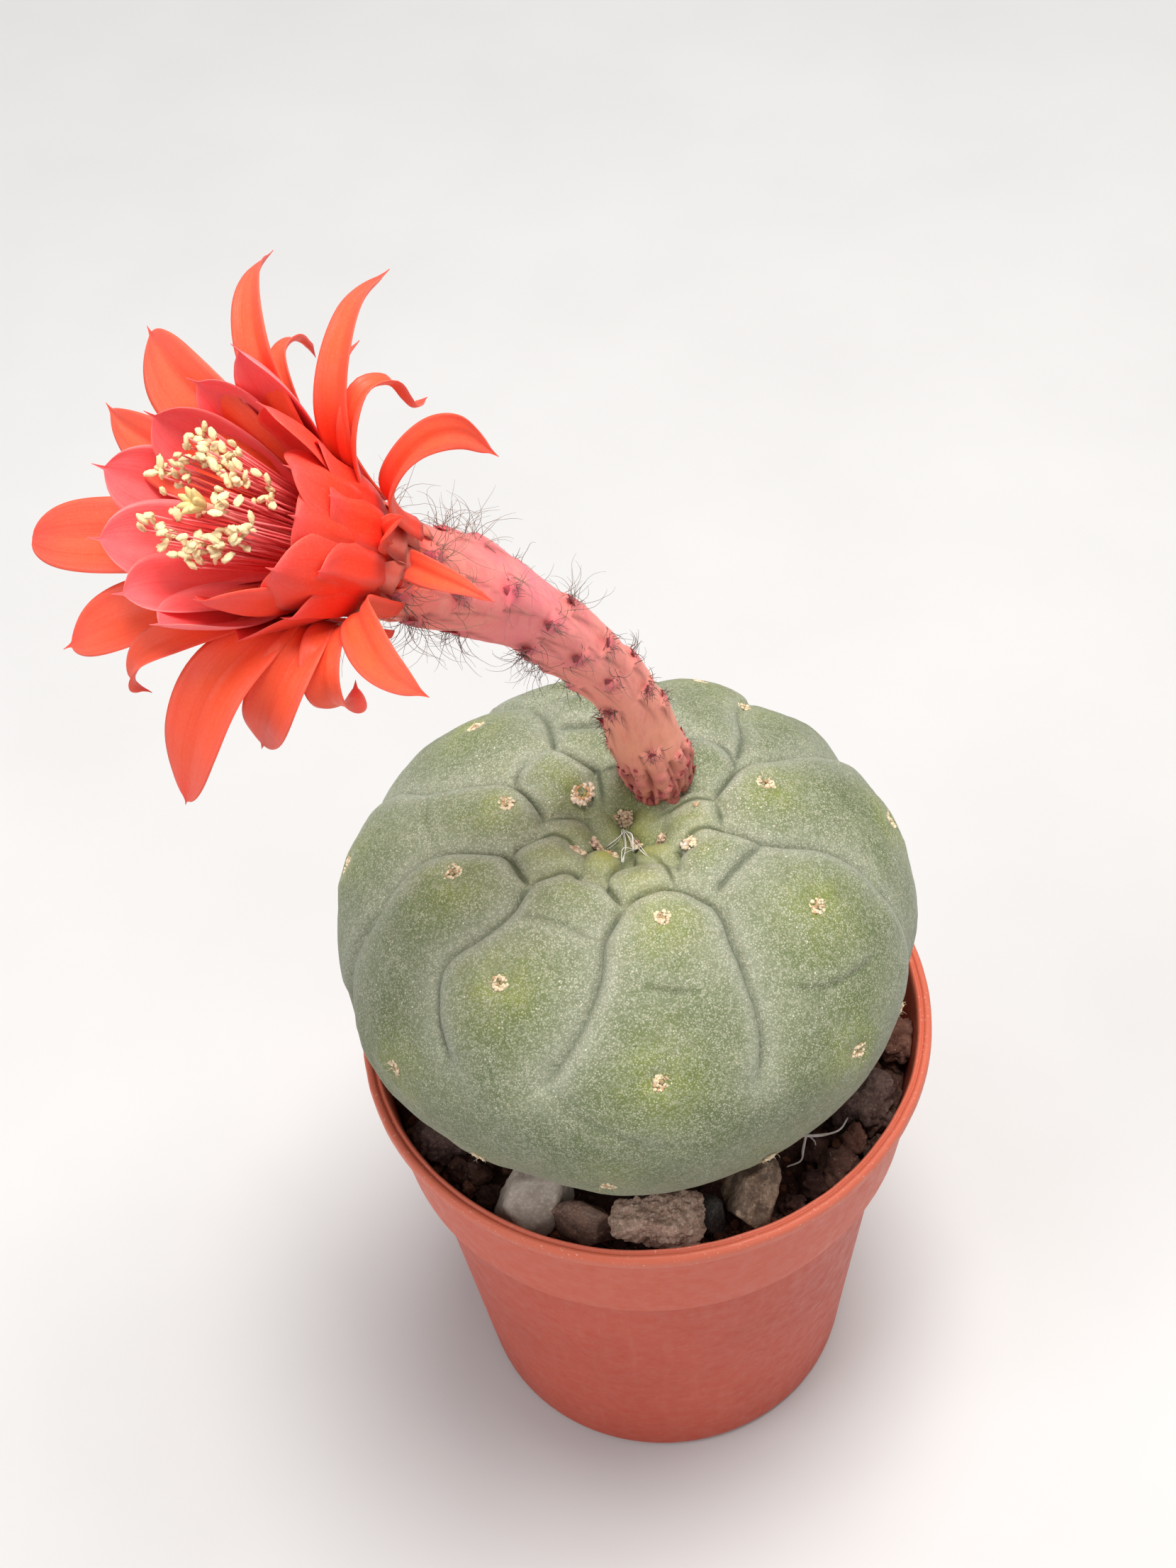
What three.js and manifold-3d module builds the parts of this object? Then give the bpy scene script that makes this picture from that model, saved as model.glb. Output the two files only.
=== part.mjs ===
// Flowering globular cactus in a small round pot. Units are millimetres, +Z up,
// origin at the centre of the pot's flat base. The bloom leans towards -X and a little to -Y.
import * as THREE from 'three';
import { mergeVertices } from 'three/addons/utils/BufferGeometryUtils.js';
import Module from 'manifold-3d';

// ---------------------------------------------------------------- dimensions
const POT = {
  height: 63.4, rimR: 32.5, lipWidth: 1.5, lipDepth: 1.7, collarTopR: 31.7, collarBottomR: 30.0,
  collarZ: 47.65, wallTopR: 28.25, baseR: 23.4, baseBevel: 1.1, wall: 1.3, floor: 1.6,
  holeR: 3.5, holeCircleR: 13.0, holes: 4, segments: 44,
};
const BODY = { cx: -1.47, cy: 0, cz: 80.24, a: 31.34, b: 18.54, n: 2.2, cols: 54, rows: 26 };
const DIMPLE = { x: -0.6, y: -0.6, depth: 6.0, r: 7.5 };      // sunken crown of the body
const GROOVE = { depth: 1.5, width: 1.7, swell: 0.45 };         // creases between tubercles
const NECK = [[0, 44.0], [4.0, 44.4], [8.0, 48.0], [13.0, 53.0], [18.0, 57.0], [21.0, 60.5], [23.2, 64.5], [23.6, 69.0], [0, 71.0]];
const GAP = 0.3;                                               // clearance between separate pieces
const TUBE_CAVITY = { r: 3.0, depth: 9.0 };
const TUBE_R = [2.6, 3.55, 3.35, 3.05, 2.9, 2.9, 3.0, 3.2, 3.35, 3.6, 3.9, 4.15, 4.2];
const OUTER_TEPAL_T = 0.75, INNER_TEPAL_T = 0.7;
const SOIL_TOP = 56.6;

// Flower frame: seat of the perianth, axis pointing out of the throat, two cross directions.
const F0 = v3(-21.155, -12.034, 147.943);
const AX = v3(-0.5998, -0.3599, 0.7147).normalize();
const EU = v3(0.1626, 0.8197, 0.5492).normalize();
const ER = v3(-0.7835, 0.4456, -0.4331).normalize();

// Centre line of the floral tube, from the crown of the body up to the perianth.
const TUBE = [[3.1, 5.6, 92.4], [3.04, 5.57, 98.85], [2.03, 4.92, 104.12], [0.97, 4.06, 109.45], [-0.72, 2.72, 115.39],
  [-2.98, 1.02, 120.99], [-5.57, -0.91, 126.12], [-8.25, -2.89, 130.81], [-10.86, -4.8, 134.87], [-13.68, -6.85, 138.84],
  [-16.44, -8.93, 142.16], [-19.1, -10.76, 145.37], [-21.16, -12.03, 147.94]];

// Outer tepals: midline points, widest width, side direction twist (deg).
const OUTER = {
  a: { w: 6.0, p: [[-22.9, -7.8, 149.3], [-24.3, -8.3, 150.9], [-28.0, -8.6, 156.3], [-31.3, -7.4, 159.7], [-34.3, -4.6, 161.7], [-36.4, -0.6, 162.4], [-37.6, 2.6, 162.2]] },
  b: { w: 5.0, p: [[-24.1, -8.3, 148.1], [-25.6, -8.8, 149.6], [-30.3, -9.2, 154.7], [-34.1, -9.0, 156.4], [-37.6, -6.9, 157.6], [-40.1, -4.3, 157.9], [-41.6, -1.6, 157.8]] },
  c: { w: 6.2, blunt: 1, p: [[-25.1, -10.1, 146.3], [-26.7, -10.8, 147.7], [-29.0, -11.2, 149.7], [-33.2, -11.4, 151.0], [-39.3, -10.6, 150.7], [-45.2, -8.2, 149.0], [-49.9, -5.7, 147.0]] },
  d: { w: 5.8, p: [[-25.1, -11.9, 145.4], [-26.7, -12.7, 146.7], [-28.8, -13.6, 147.9], [-33.0, -14.9, 147.8], [-38.1, -15.3, 146.9], [-43.2, -14.6, 144.4], [-47.9, -13.0, 140.5]] },
  e: { w: 4.0, p: [[-24.1, -12.7, 142.9], [-25.6, -13.5, 144.3], [-27.4, -15.3, 146.4], [-30.9, -18.1, 148.3], [-35.8, -19.9, 148.0], [-39.3, -20.2, 146.3], [-40.7, -19.9, 143.2], [-39.9, -18.4, 140.0]] },
  f: { w: 6.0, p: [[-24.0, -14.5, 145.0], [-25.5, -15.5, 146.4], [-26.8, -17.6, 147.8], [-29.1, -20.8, 148.0], [-32.7, -23.4, 146.0], [-35.5, -25.1, 141.3], [-37.6, -26.0, 134.0]] },
  g: { w: 5.0, p: [[-22.3, -15.2, 143.2], [-23.7, -16.2, 144.5], [-24.6, -18.6, 146.9], [-25.8, -22.2, 147.9], [-27.4, -24.2, 146.4], [-29.1, -24.8, 142.9], [-30.9, -22.5, 136.5]] },
  h: { w: 4.0, p: [[-18.4, -16.6, 145.7], [-19.6, -17.8, 147.2], [-21.0, -20.4, 149.7], [-20.0, -25.1, 151.0], [-18.6, -28.5, 151.6], [-16.8, -31.4, 152.5], [-14.7, -34.3, 153.9]] },
  i: { w: 3.8, p: [[-19.8, -16.2, 142.3], [-21.2, -17.2, 143.6], [-23.0, -19.6, 147.4], [-23.9, -22.7, 148.2], [-24.2, -24.4, 146.7], [-23.8, -24.8, 144.2], [-22.5, -22.4, 141.4], [-22.5, -18.9, 140.3]] },
  j: { w: 2.8, p: [[-14.6, -14.9, 147.3], [-15.7, -15.9, 148.9], [-16.4, -18.3, 152.5], [-14.1, -22.4, 155.1], [-11.8, -25.1, 156.3], [-9.4, -27.8, 157.1]] },
  k: { w: 3.4, p: [[-15.9, -11.5, 150.4], [-16.9, -12.3, 152.2], [-17.8, -13.3, 155.6], [-16.2, -14.3, 160.0], [-13.7, -15.5, 163.3], [-10.8, -18.0, 165.7], [-8.1, -22.7, 167.2]] },
  l: { w: 2.8, p: [[-18.6, -10.5, 151.6], [-19.7, -11.1, 153.4], [-20.4, -12.3, 159.6], [-19.8, -11.9, 163.2], [-18.7, -10.7, 164.8], [-16.9, -9.5, 164.3], [-16.0, -8.6, 161.9], [-15.4, -7.4, 159.9], [-14.5, -4.7, 158.5]] },
  m: { w: 3.6, p: [[-19.4, -9.4, 151.5], [-20.5, -10.0, 153.3], [-21.1, -11.0, 158.5], [-21.2, -10.7, 163.4], [-20.5, -8.7, 166.7], [-19.2, -4.8, 168.4], [-16.7, 1.6, 166.9]] },
  n: { w: 3.8, p: [[-20.9, -8.3, 150.8], [-22.2, -8.8, 152.5], [-23.5, -9.0, 155.4], [-25.8, -8.3, 161.1], [-27.3, -6.1, 165.3], [-27.7, -2.8, 167.7], [-27.4, 0.5, 168.3], [-26.3, 4.6, 167.4]] },
  o: { w: 2.6, p: [[-19.1, -5.2, 148.3], [-20.5, -5.7, 150.1], [-24.0, -5.8, 155.0], [-25.9, -4.0, 159.8], [-26.4, -1.3, 161.3], [-25.4, 1.4, 160.7], [-24.6, 2.9, 158.7], [-24.3, 3.8, 156.7]] },
  p: { w: 3.4, p: [[-18.5, -7.4, 150.2], [-19.8, -7.9, 152.0], [-21.6, -6.6, 155.6], [-22.4, -4.4, 158.2], [-21.6, -2.0, 160.2], [-19.9, 0.2, 161.0]] },
  q: { w: 2.6, p: [[-17.7, -14.0, 150.6], [-18.5, -15.0, 152.3], [-18.3, -16.2, 154.3], [-17.4, -17.3, 156.3], [-16.4, -18.2, 157.8]] },
};
// Inner tepals in the flower frame: angle, tip height along the axis, tip radius, widest width, seat radius.
const INNER = {
  a: [-4, 17.3, 13.2, 4.5, 3.9], b: [20, 16.6, 12.2, 4.0, 3.2], c: [44, 18.0, 11.6, 4.6, 3.9], d: [72, 18.8, 14.0, 5.2, 3.2],
  e: [99, 18.8, 12.4, 5.2, 3.9], f: [126, 18.0, 11.2, 4.6, 3.2], g: [150, 17.0, 10.4, 4.6, 3.9], h: [190, 16.6, 8.6, 5.0, 3.2],
  i: [232, 15.8, 8.0, 4.8, 3.9], j: [272, 15.4, 7.6, 4.8, 3.2], k: [308, 15.8, 7.8, 4.6, 3.9], l: [338, 16.6, 9.6, 4.2, 3.2],
};
// Anthers in the flower frame: angle, height, radius.
const ANTHERS = [[10, 17.5, 5.6], [40, 15.5, 4.4], [66, 17.4, 5.2], [92, 15.8, 4.6], [118, 17.2, 5.0], [145, 16.0, 4.4], [172, 16.8, 4.6],
  [200, 15.4, 4.0], [230, 16.4, 3.8], [262, 15.2, 3.6], [298, 16.2, 3.8], [334, 15.6, 4.4]];
const STIGMA_S = 18.6;

// Crease lines between tubercles, as points near the body's surface.
const CREASES = [
  [[-25.5, 12.3, 90.6], [-21.5, 8.6, 94.4], [-18.1, 7.9, 95.9], [-15.2, 7.1, 96.9], [-12.6, 5.9, 97.6], [-10.6, 3.6, 98.1], [-8.6, -0.2, 98.4]],
  [[-12.4, 6.2, 97.6], [-10.9, 9.4, 97.4], [-7.9, 10.7, 97.6], [-5.3, 8.4, 98.2], [-3.3, 5.7, 98.6], [-3.1, 1.8, 98.7]],
  [[-7.8, 10.6, 97.6], [-8.6, 16.0, 96.2], [-10.7, 20.7, 93.9]],
  [[-13.1, -3.5, 97.7], [-10.6, -2.5, 98.2], [-7.5, -3.4, 98.5], [-5.2, -6.8, 98.4]],
  [[-13.0, -3.7, 97.7], [-10.8, -7.8, 97.7]],
  [[-10.8, -7.8, 97.7], [-7.2, -7.3, 98.2], [-4.4, -8.6, 98.2], [-1.5, -11.6, 97.8]],
  [[-10.8, -7.8, 97.7], [-12.7, -10.6, 96.9], [-16.3, -12.8, 95.4], [-19.5, -13.9, 93.8], [-21.0, -17.9, 91.1], [-20.1, -22.3, 88.0], [-19.0, -25.0, 84.0]],
  [[-2.7, -8.8, 98.2], [0.4, -6.8, 98.5], [2.8, -7.3, 98.3], [4.0, -9.7, 97.9]],
  [[-1.4, -11.7, 97.8], [2.4, -10.2, 97.9], [6.7, -11.4, 97.3], [9.0, -15.4, 95.8], [10.5, -19.9, 93.5], [11.4, -24.7, 89.7], [10.8, -28.0, 85.0], [9.6, -29.5, 80.0]],
  [[-1.4, -11.9, 97.8], [-3.7, -15.6, 96.8], [-5.0, -20.8, 94.7], [-8.2, -25.2, 91.5], [-10.7, -26.9, 89.0], [-13.0, -28.0, 84.5]],
  [[2.3, -2.3, 98.7], [5.0, -0.1, 98.5], [8.8, 1.1, 98.0], [9.7, 3.3, 97.8], [12.9, 7.2, 96.7], [16.2, 8.9, 95.3], [21.1, 12.1, 91.9]],
  [[6.4, 11.0, 97.4], [9.7, 10.1, 97.0], [11.5, 6.4, 97.1]],
  [[3.7, -7.6, 98.2], [5.3, -4.9, 98.3], [8.2, -2.9, 98.1], [13.9, -4.1, 96.8], [18.6, -3.6, 95.1], [21.4, -4.0, 93.6], [25.1, -5.8, 90.4], [27.5, -7.5, 86.5]],
  [[13.5, -3.9, 96.9], [9.6, -7.9, 97.4], [7.9, -10.6, 97.2]],
  [[-27.4, -4.9, 91.2], [-23.5, -1.6, 94.2], [-19.3, -1.4, 96.1], [-13.3, -3.5, 97.7], [-10.9, -7.9, 97.7]],
  [[-0.2, -19.9, 95.3], [5.3, -20.7, 94.4]],
  [[14.2, -19.2, 92.5], [18.3, -18.3, 90.7], [23.5, -13.5, 89.1]],
  [[-8.2, -28.4, 87.9], [-4.0, -30.5, 84.9], [3.1, -30.8, 83.0]],
  // rear and lower flanks
  [[-11.0, 21.0, 93.6], [-14.5, 24.5, 89.0], [-16.0, 26.5, 84.0], [-15.0, 27.5, 78.0]],
  [[4.0, 16.5, 96.2], [2.5, 22.5, 93.4], [4.5, 27.0, 89.4], [3.0, 30.5, 84.0], [4.0, 30.9, 78.0]],
  [[4.0, 16.5, 96.2], [6.4, 11.0, 97.4]], [[4.0, 16.5, 96.2], [-3.0, 14.5, 97.0], [-8.6, 16.0, 96.2]],
  [[21.1, 12.1, 91.9], [24.5, 15.0, 87.5], [25.0, 17.5, 82.0], [24.0, 19.0, 76.0]],
  [[-27.4, -4.9, 91.2], [-30.5, -6.5, 86.0], [-31.6, -8.0, 80.0]],
  [[-25.5, 12.3, 90.6], [-28.5, 13.0, 85.5], [-29.5, 13.5, 79.0]],
];

// Stones bedded round the plant: centre, half sizes, turn about Z (deg), seed.
const STONES = {
  stone_grey: { c: [-13.51, -21.59, 59.6], s: [4.3, 3.6, 3.9], turn: 24, seed: 3 },
  stone_brown_wedge: { c: [-7.31, -25.09, 58.9], s: [3.9, 2.6, 3.0], turn: -16, seed: 5 },
  stone_pink_granular: { c: [-0.2, -26.5, 61.6], s: [5.0, 3.4, 3.1], turn: 4, seed: 8 },
  stone_banded: { c: [10.26, -23.55, 60.2], s: [4.0, 3.3, 4.1], turn: 28, seed: 11 },
  stone_dark: { c: [5.57, -25.26, 59.2], s: [2.0, 2.1, 2.8], turn: 0, seed: 14 },
  clod_right: { c: [22.6, -11.3, 59.3], s: [2.7, 3.4, 2.9], turn: 20, seed: 17 },
  clod_left: { c: [-22.4, -12.0, 58.6], s: [2.7, 2.9, 2.5], turn: -28, seed: 20 },
  stone_rear: { c: [6.5, 25.2, 58.9], s: [4.2, 2.9, 3.3], turn: -10, seed: 23 },
  clod_rear: { c: [-14.0, 22.4, 58.5], s: [3.6, 2.8, 2.9], turn: 35, seed: 26 },
};

const COLORS = {
  pot: [0x9a4a36, 0.55], potting_soil: [0x3a2a20, 0.97], cactus_body: [0x7b8f5e, 0.8], flower_tube: [0xd9706a, 0.6],
  outer: [0xf0603c, 0.5], inner: [0xf2667a, 0.5], stamens: [0xf0d2a8, 0.7], pistil: [0xd9c48a, 0.6],
};
const STONE_COLORS = {
  stone_grey: 0x8c8c88, stone_brown_wedge: 0x4a382e, stone_pink_granular: 0xa8847a, stone_banded: 0xa89680, stone_dark: 0x4b4744,
  clod_right: 0x4a3428, clod_left: 0x3d2c22, stone_rear: 0x9a9088, clod_rear: 0x453226,
};

// ---------------------------------------------------------------- helpers
function v3(x, y, z) { return new THREE.Vector3(x, y, z); }
const wasm = await Module();
wasm.setup();

function toManifold(geo) {
  const g = new THREE.BufferGeometry();
  g.setAttribute('position', geo.getAttribute('position').clone());
  if (geo.index) g.setIndex(geo.index.clone());
  const m = mergeVertices(g, 1e-4);
  const idx = m.index.array, tri = [];
  for (let i = 0; i < idx.length; i += 3) {
    const [a, b, c] = [idx[i], idx[i + 1], idx[i + 2]];
    if (a !== b && b !== c && a !== c) tri.push(a, b, c);
  }
  const mesh = new wasm.Mesh({ numProp: 3, vertProperties: Float32Array.from(m.getAttribute('position').array), triVerts: Uint32Array.from(tri) });
  return new wasm.Manifold(mesh);
}

function largest(man) {
  const parts = man.decompose();
  let best = parts[0];
  for (const p of parts) if (p.volume() > best.volume()) best = p;
  return best;
}

function toMesh(man, name, color, roughness) {
  const m = man.getMesh();
  const np = m.numProp, n = m.vertProperties.length / np, pos = new Float32Array(n * 3);
  for (let i = 0; i < n; i++) for (let k = 0; k < 3; k++) pos[i * 3 + k] = m.vertProperties[i * np + k];
  const g = new THREE.BufferGeometry();
  g.setAttribute('position', new THREE.BufferAttribute(pos, 3));
  g.setIndex(new THREE.BufferAttribute(Uint32Array.from(m.triVerts), 1));
  g.computeVertexNormals();
  const mesh = new THREE.Mesh(g, new THREE.MeshStandardMaterial({ color, roughness, metalness: 0 }));
  mesh.name = name;
  return mesh;
}

// Small seeded generator, so every build is the same.
function rng(seed) {
  let s = (seed * 2654435761) >>> 0;
  return () => { s = (s + 0x6d2b79f5) >>> 0; let t = s; t = Math.imul(t ^ (t >>> 15), t | 1); t ^= t + Math.imul(t ^ (t >>> 7), t | 61); return ((t ^ (t >>> 14)) >>> 0) / 4294967296; };
}

// Closed loft through rings of equal point count, capped by a centre point at each end.
function loft(rings) {
  const n = rings[0].length, pos = [], idx = [];
  for (const r of rings) for (const p of r) pos.push(p.x, p.y, p.z);
  for (let i = 0; i + 1 < rings.length; i++) for (let j = 0; j < n; j++) {
    const a = i * n + j, b = i * n + (j + 1) % n, c = a + n, d = b + n;
    idx.push(a, b, d, a, d, c);
  }
  const cap = (ring, base, flip) => {
    const c = v3(0, 0, 0); ring.forEach((p) => c.add(p)); c.divideScalar(n);
    const k = pos.length / 3; pos.push(c.x, c.y, c.z);
    for (let j = 0; j < n; j++) { const a = base + j, b = base + (j + 1) % n; flip ? idx.push(k, b, a) : idx.push(k, a, b); }
  };
  cap(rings[0], 0, true);
  cap(rings[rings.length - 1], (rings.length - 1) * n, false);
  const g = new THREE.BufferGeometry();
  g.setAttribute('position', new THREE.BufferAttribute(Float32Array.from(pos), 3));
  g.setIndex(idx);
  return g;
}

// Round tube along a smooth line with a radius list; frames carried along the line.
function roundSweep(points, radii, seg, steps) {
  const curve = new THREE.CatmullRomCurve3(points, false, 'centripetal');
  const frames = curve.computeFrenetFrames(steps, false), rings = [];
  for (let i = 0; i <= steps; i++) {
    const t = i / steps, c = curve.getPointAt(t), f = t * (radii.length - 1), k = Math.min(Math.floor(f), radii.length - 2);
    const r = radii[k] + (radii[k + 1] - radii[k]) * (f - k), ring = [];
    for (let j = 0; j < seg; j++) {
      const a = (j / seg) * Math.PI * 2;
      ring.push(c.clone().addScaledVector(frames.normals[i], Math.cos(a) * r).addScaledVector(frames.binormals[i], Math.sin(a) * r));
    }
    rings.push(ring);
  }
  return loft(rings);
}

function interp(list, t) {
  const f = t * (list.length - 1), k = Math.min(Math.floor(f), list.length - 2);
  return list[k] + (list[k + 1] - list[k]) * (f - k);
}

// A tepal: a cupped blade along a midline, outline from a width list, rounded in section.
const BLADE = [0.40, 0.44, 0.55, 0.74, 0.92, 1.0, 0.95, 0.74, 0.42, 0.10];
const BLUNT = [0.36, 0.42, 0.58, 0.78, 0.92, 1.0, 1.0, 0.92, 0.72, 0.30];
function tepal(points, width, thick, outline, grow, steps) {
  const curve = new THREE.CatmullRomCurve3(points, false, 'centripetal');
  const rings = [], axisPoint = F0.clone();
  let side = null;
  for (let i = 0; i <= steps; i++) {
    const t = i / steps, c = curve.getPointAt(t), tan = curve.getTangentAt(t);
    if (i === 0) c.addScaledVector(tan, -grow); if (i === steps) c.addScaledVector(tan, grow);
    if (!side) {
      const rel = c.clone().sub(axisPoint); rel.addScaledVector(AX, -rel.dot(AX));
      side = new THREE.Vector3().crossVectors(AX, rel.normalize());
    }
    side.addScaledVector(tan, -side.dot(tan)).normalize();
    const nrm = new THREE.Vector3().crossVectors(side, tan).normalize();      // towards the outer face
    const w = Math.max(width * interp(outline, t) * 0.5, 0.25) + grow, h = thick * 0.5 * (1 - 0.45 * t) + grow;
    const cup = Math.min(0.16 * width, 0.9) * (w / (width * 0.5 + grow)) ** 2;
    const sec = [[-1, 0], [-0.5, 1], [0.5, 1], [1, 0], [0.5, -1], [-0.5, -1]];
    rings.push(sec.map(([x, y]) => c.clone().addScaledVector(side, x * w).addScaledVector(nrm, y * h - cup * x * x)));
  }
  const m = toManifold(loft(rings));
  return m;
}

function flowerPoint(angle, s, r) {
  const a = THREE.MathUtils.degToRad(angle);
  return F0.clone().addScaledVector(AX, s).addScaledVector(EU, Math.cos(a) * r).addScaledVector(ER, Math.sin(a) * r);
}

// ---------------------------------------------------------------- pot
function makePot() {
  const P = POT, w = P.wall;
  const prof = [
    [0, 0], [P.baseR - P.baseBevel, 0], [P.baseR, P.baseBevel], [P.wallTopR, P.collarZ], [P.collarBottomR, P.collarZ],
    [P.collarTopR, P.height - P.lipDepth], [P.rimR, P.height - P.lipDepth + 0.3], [P.rimR, P.height - 0.35], [P.rimR - 0.4, P.height],
    [P.rimR - P.lipWidth, P.height], [P.collarTopR - w, P.height - P.lipDepth], [P.collarBottomR - w, P.collarZ + 0.9],
    [P.wallTopR - w, P.collarZ - 1.2], [P.baseR - w - 0.1, P.floor], [0, P.floor],
  ];
  const g = new THREE.LatheGeometry(prof.map(([r, z]) => new THREE.Vector2(r, z)), P.segments);
  g.rotateX(Math.PI / 2);
  let pot = toManifold(g);
  if (pot.volume() < 0) throw new Error('pot is inside out');
  for (let i = 0; i < P.holes; i++) {
    const a = (i / P.holes) * Math.PI * 2 + Math.PI / 4;
    const c = new THREE.CylinderGeometry(P.holeR, P.holeR, 6, 18); c.rotateX(Math.PI / 2);
    c.translate(Math.cos(a) * P.holeCircleR, Math.sin(a) * P.holeCircleR, 0.6);
    pot = pot.subtract(toManifold(c));
  }
  return pot;
}

// ---------------------------------------------------------------- body
function creaseSamples() {
  const out = [];
  for (const line of CREASES) {
    for (let i = 0; i + 1 < line.length; i++) {
      const a = v3(...line[i]), b = v3(...line[i + 1]), n = Math.max(1, Math.ceil(a.distanceTo(b) / 0.8));
      for (let k = 0; k <= n; k++) out.push(a.clone().lerp(b, k / n));
    }
  }
  return out;
}
const SAMPLES = creaseSamples();

function bodyPoint(theta, phi, grow) {
  const e = 2 / BODY.n, cp = Math.abs(Math.cos(phi)) ** e, sp = Math.sign(Math.sin(phi)) * Math.abs(Math.sin(phi)) ** e;
  const p = v3(BODY.cx + BODY.a * cp * Math.cos(theta), BODY.cy + BODY.a * cp * Math.sin(theta), BODY.cz + BODY.b * sp);
  const n = v3((p.x - BODY.cx) / BODY.a ** 2, (p.y - BODY.cy) / BODY.a ** 2, (p.z - BODY.cz) / BODY.b ** 2).normalize();
  let d2 = 1e9;
  for (const s of SAMPLES) { const d = s.distanceToSquared(p); if (d < d2) d2 = d; }
  const d = Math.sqrt(d2), fade = THREE.MathUtils.smoothstep(p.z, 66, 76);
  const h = fade * (GROOVE.swell * Math.min(1, d / 5) - GROOVE.depth * Math.exp(-((d / GROOVE.width) ** 2)));
  p.addScaledVector(n, h + grow);
  const q = ((p.x - DIMPLE.x) ** 2 + (p.y - DIMPLE.y) ** 2) / DIMPLE.r ** 2;
  if (p.z > BODY.cz) p.z -= DIMPLE.depth * Math.exp(-q);
  return p;
}

function makeBody(grow) {
  const rings = [];
  for (let i = 1; i < BODY.rows; i++) {
    const phi = -Math.PI / 2 + Math.PI * (i / BODY.rows), ring = [];
    for (let j = 0; j < BODY.cols; j++) ring.push(bodyPoint((j / BODY.cols) * Math.PI * 2, phi, grow));
    rings.push(ring);
  }
  const dome = toManifold(loft(rings));
  const neck = new THREE.LatheGeometry(NECK.map(([r, z], i) => new THREE.Vector2(r ? r + grow : 0, z + (i === 0 ? -grow : 0))), 24);
  neck.rotateX(Math.PI / 2);
  neck.translate(BODY.cx * 0.5, 0, 0);
  return largest(dome.add(toManifold(neck)));
}

// ---------------------------------------------------------------- soil and stones
function makeStone({ c, s, turn, seed }, grow) {
  const r = rng(seed), g = mergeVertices(new THREE.IcosahedronGeometry(1, 1).deleteAttribute('normal').deleteAttribute('uv'), 1e-4);
  const p = g.getAttribute('position'), dirs = [];
  for (let i = 0; i < 7; i++) { const d = v3(r() * 2 - 1, r() * 2 - 1, r() * 2 - 1).normalize(); dirs.push([d, 0.72 + 0.2 * r()]); }
  for (let i = 0; i < p.count; i++) {
    const v = v3(p.getX(i), p.getY(i), p.getZ(i)).normalize();
    let k = 1;
    for (const [d, h] of dirs) { const q = v.dot(d); if (q > h) k = Math.min(k, h / q); }
    k *= 0.97 + 0.06 * r();
    p.setXYZ(i, v.x * (s[0] * k + grow), v.y * (s[1] * k + grow), v.z * (s[2] * k + grow));
  }
  g.rotateZ(THREE.MathUtils.degToRad(turn));
  g.translate(c[0], c[1], c[2]);
  return toManifold(g);
}

function soilInnerR(z) {
  const P = POT, w = P.wall + GAP + 0.05;
  if (z >= P.collarZ + 0.9) return P.collarBottomR - w + (P.collarTopR - P.collarBottomR) * ((z - P.collarZ) / (P.height - P.lipDepth - P.collarZ)) - 0.15;
  return P.baseR - w - 0.1 + (P.wallTopR - P.baseR) * (z / P.collarZ) - 0.15;
}

function makeSoil() {
  const r = rng(41), seg = 34, rings = [];
  const low = [POT.floor + GAP + 0.02, 14, 30, POT.collarZ - 2.0, POT.collarZ + 1.6, SOIL_TOP - 2.2];
  for (const z of low) {
    const R = soilInnerR(z) - (z > POT.collarZ - 3 && z < POT.collarZ + 1 ? 0.3 : 0), ring = [];
    for (let j = 0; j < seg; j++) { const a = (j / seg) * Math.PI * 2; ring.push(v3(Math.cos(a) * R, Math.sin(a) * R, z)); }
    rings.push(ring);
  }
  for (const f of [0.985, 0.9, 0.78, 0.6]) {
    const ring = [], R = soilInnerR(SOIL_TOP) * f;
    for (let j = 0; j < seg; j++) {
      const a = (j / seg) * Math.PI * 2;
      const wave = 0.7 * Math.sin(3 * a + 1.1) + 0.5 * Math.sin(7 * a + 0.4) + 1.1 * (r() - 0.5);
      ring.push(v3(Math.cos(a) * R, Math.sin(a) * R, SOIL_TOP + wave * (f > 0.97 ? 0.5 : 1) + (f < 0.97 ? 0.8 : 0)));
    }
    rings.push(ring);
  }
  return toManifold(loft(rings));
}

// ---------------------------------------------------------------- flower
function makeTube(grow) {
  const pts = TUBE.map((p) => v3(...p));
  return toManifold(roundSweep(pts, TUBE_R.map((r) => r + grow), 14, 16));
}

function throat() {
  const g = new THREE.CylinderGeometry(TUBE_CAVITY.r, TUBE_CAVITY.r * 0.8, TUBE_CAVITY.depth + 6, 16);
  g.translate(0, (TUBE_CAVITY.depth + 6) / 2 - TUBE_CAVITY.depth, 0);
  g.applyQuaternion(new THREE.Quaternion().setFromUnitVectors(v3(0, 1, 0), AX));
  g.translate(F0.x, F0.y, F0.z);
  return toManifold(g);
}

function rod(a, b, r0, r1, seg) {
  const d = b.clone().sub(a), g = new THREE.CylinderGeometry(r1, r0, d.length(), seg);
  g.applyQuaternion(new THREE.Quaternion().setFromUnitVectors(v3(0, 1, 0), d.clone().normalize()));
  const m = a.clone().add(b).multiplyScalar(0.5);
  g.translate(m.x, m.y, m.z);
  return toManifold(g);
}

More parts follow.
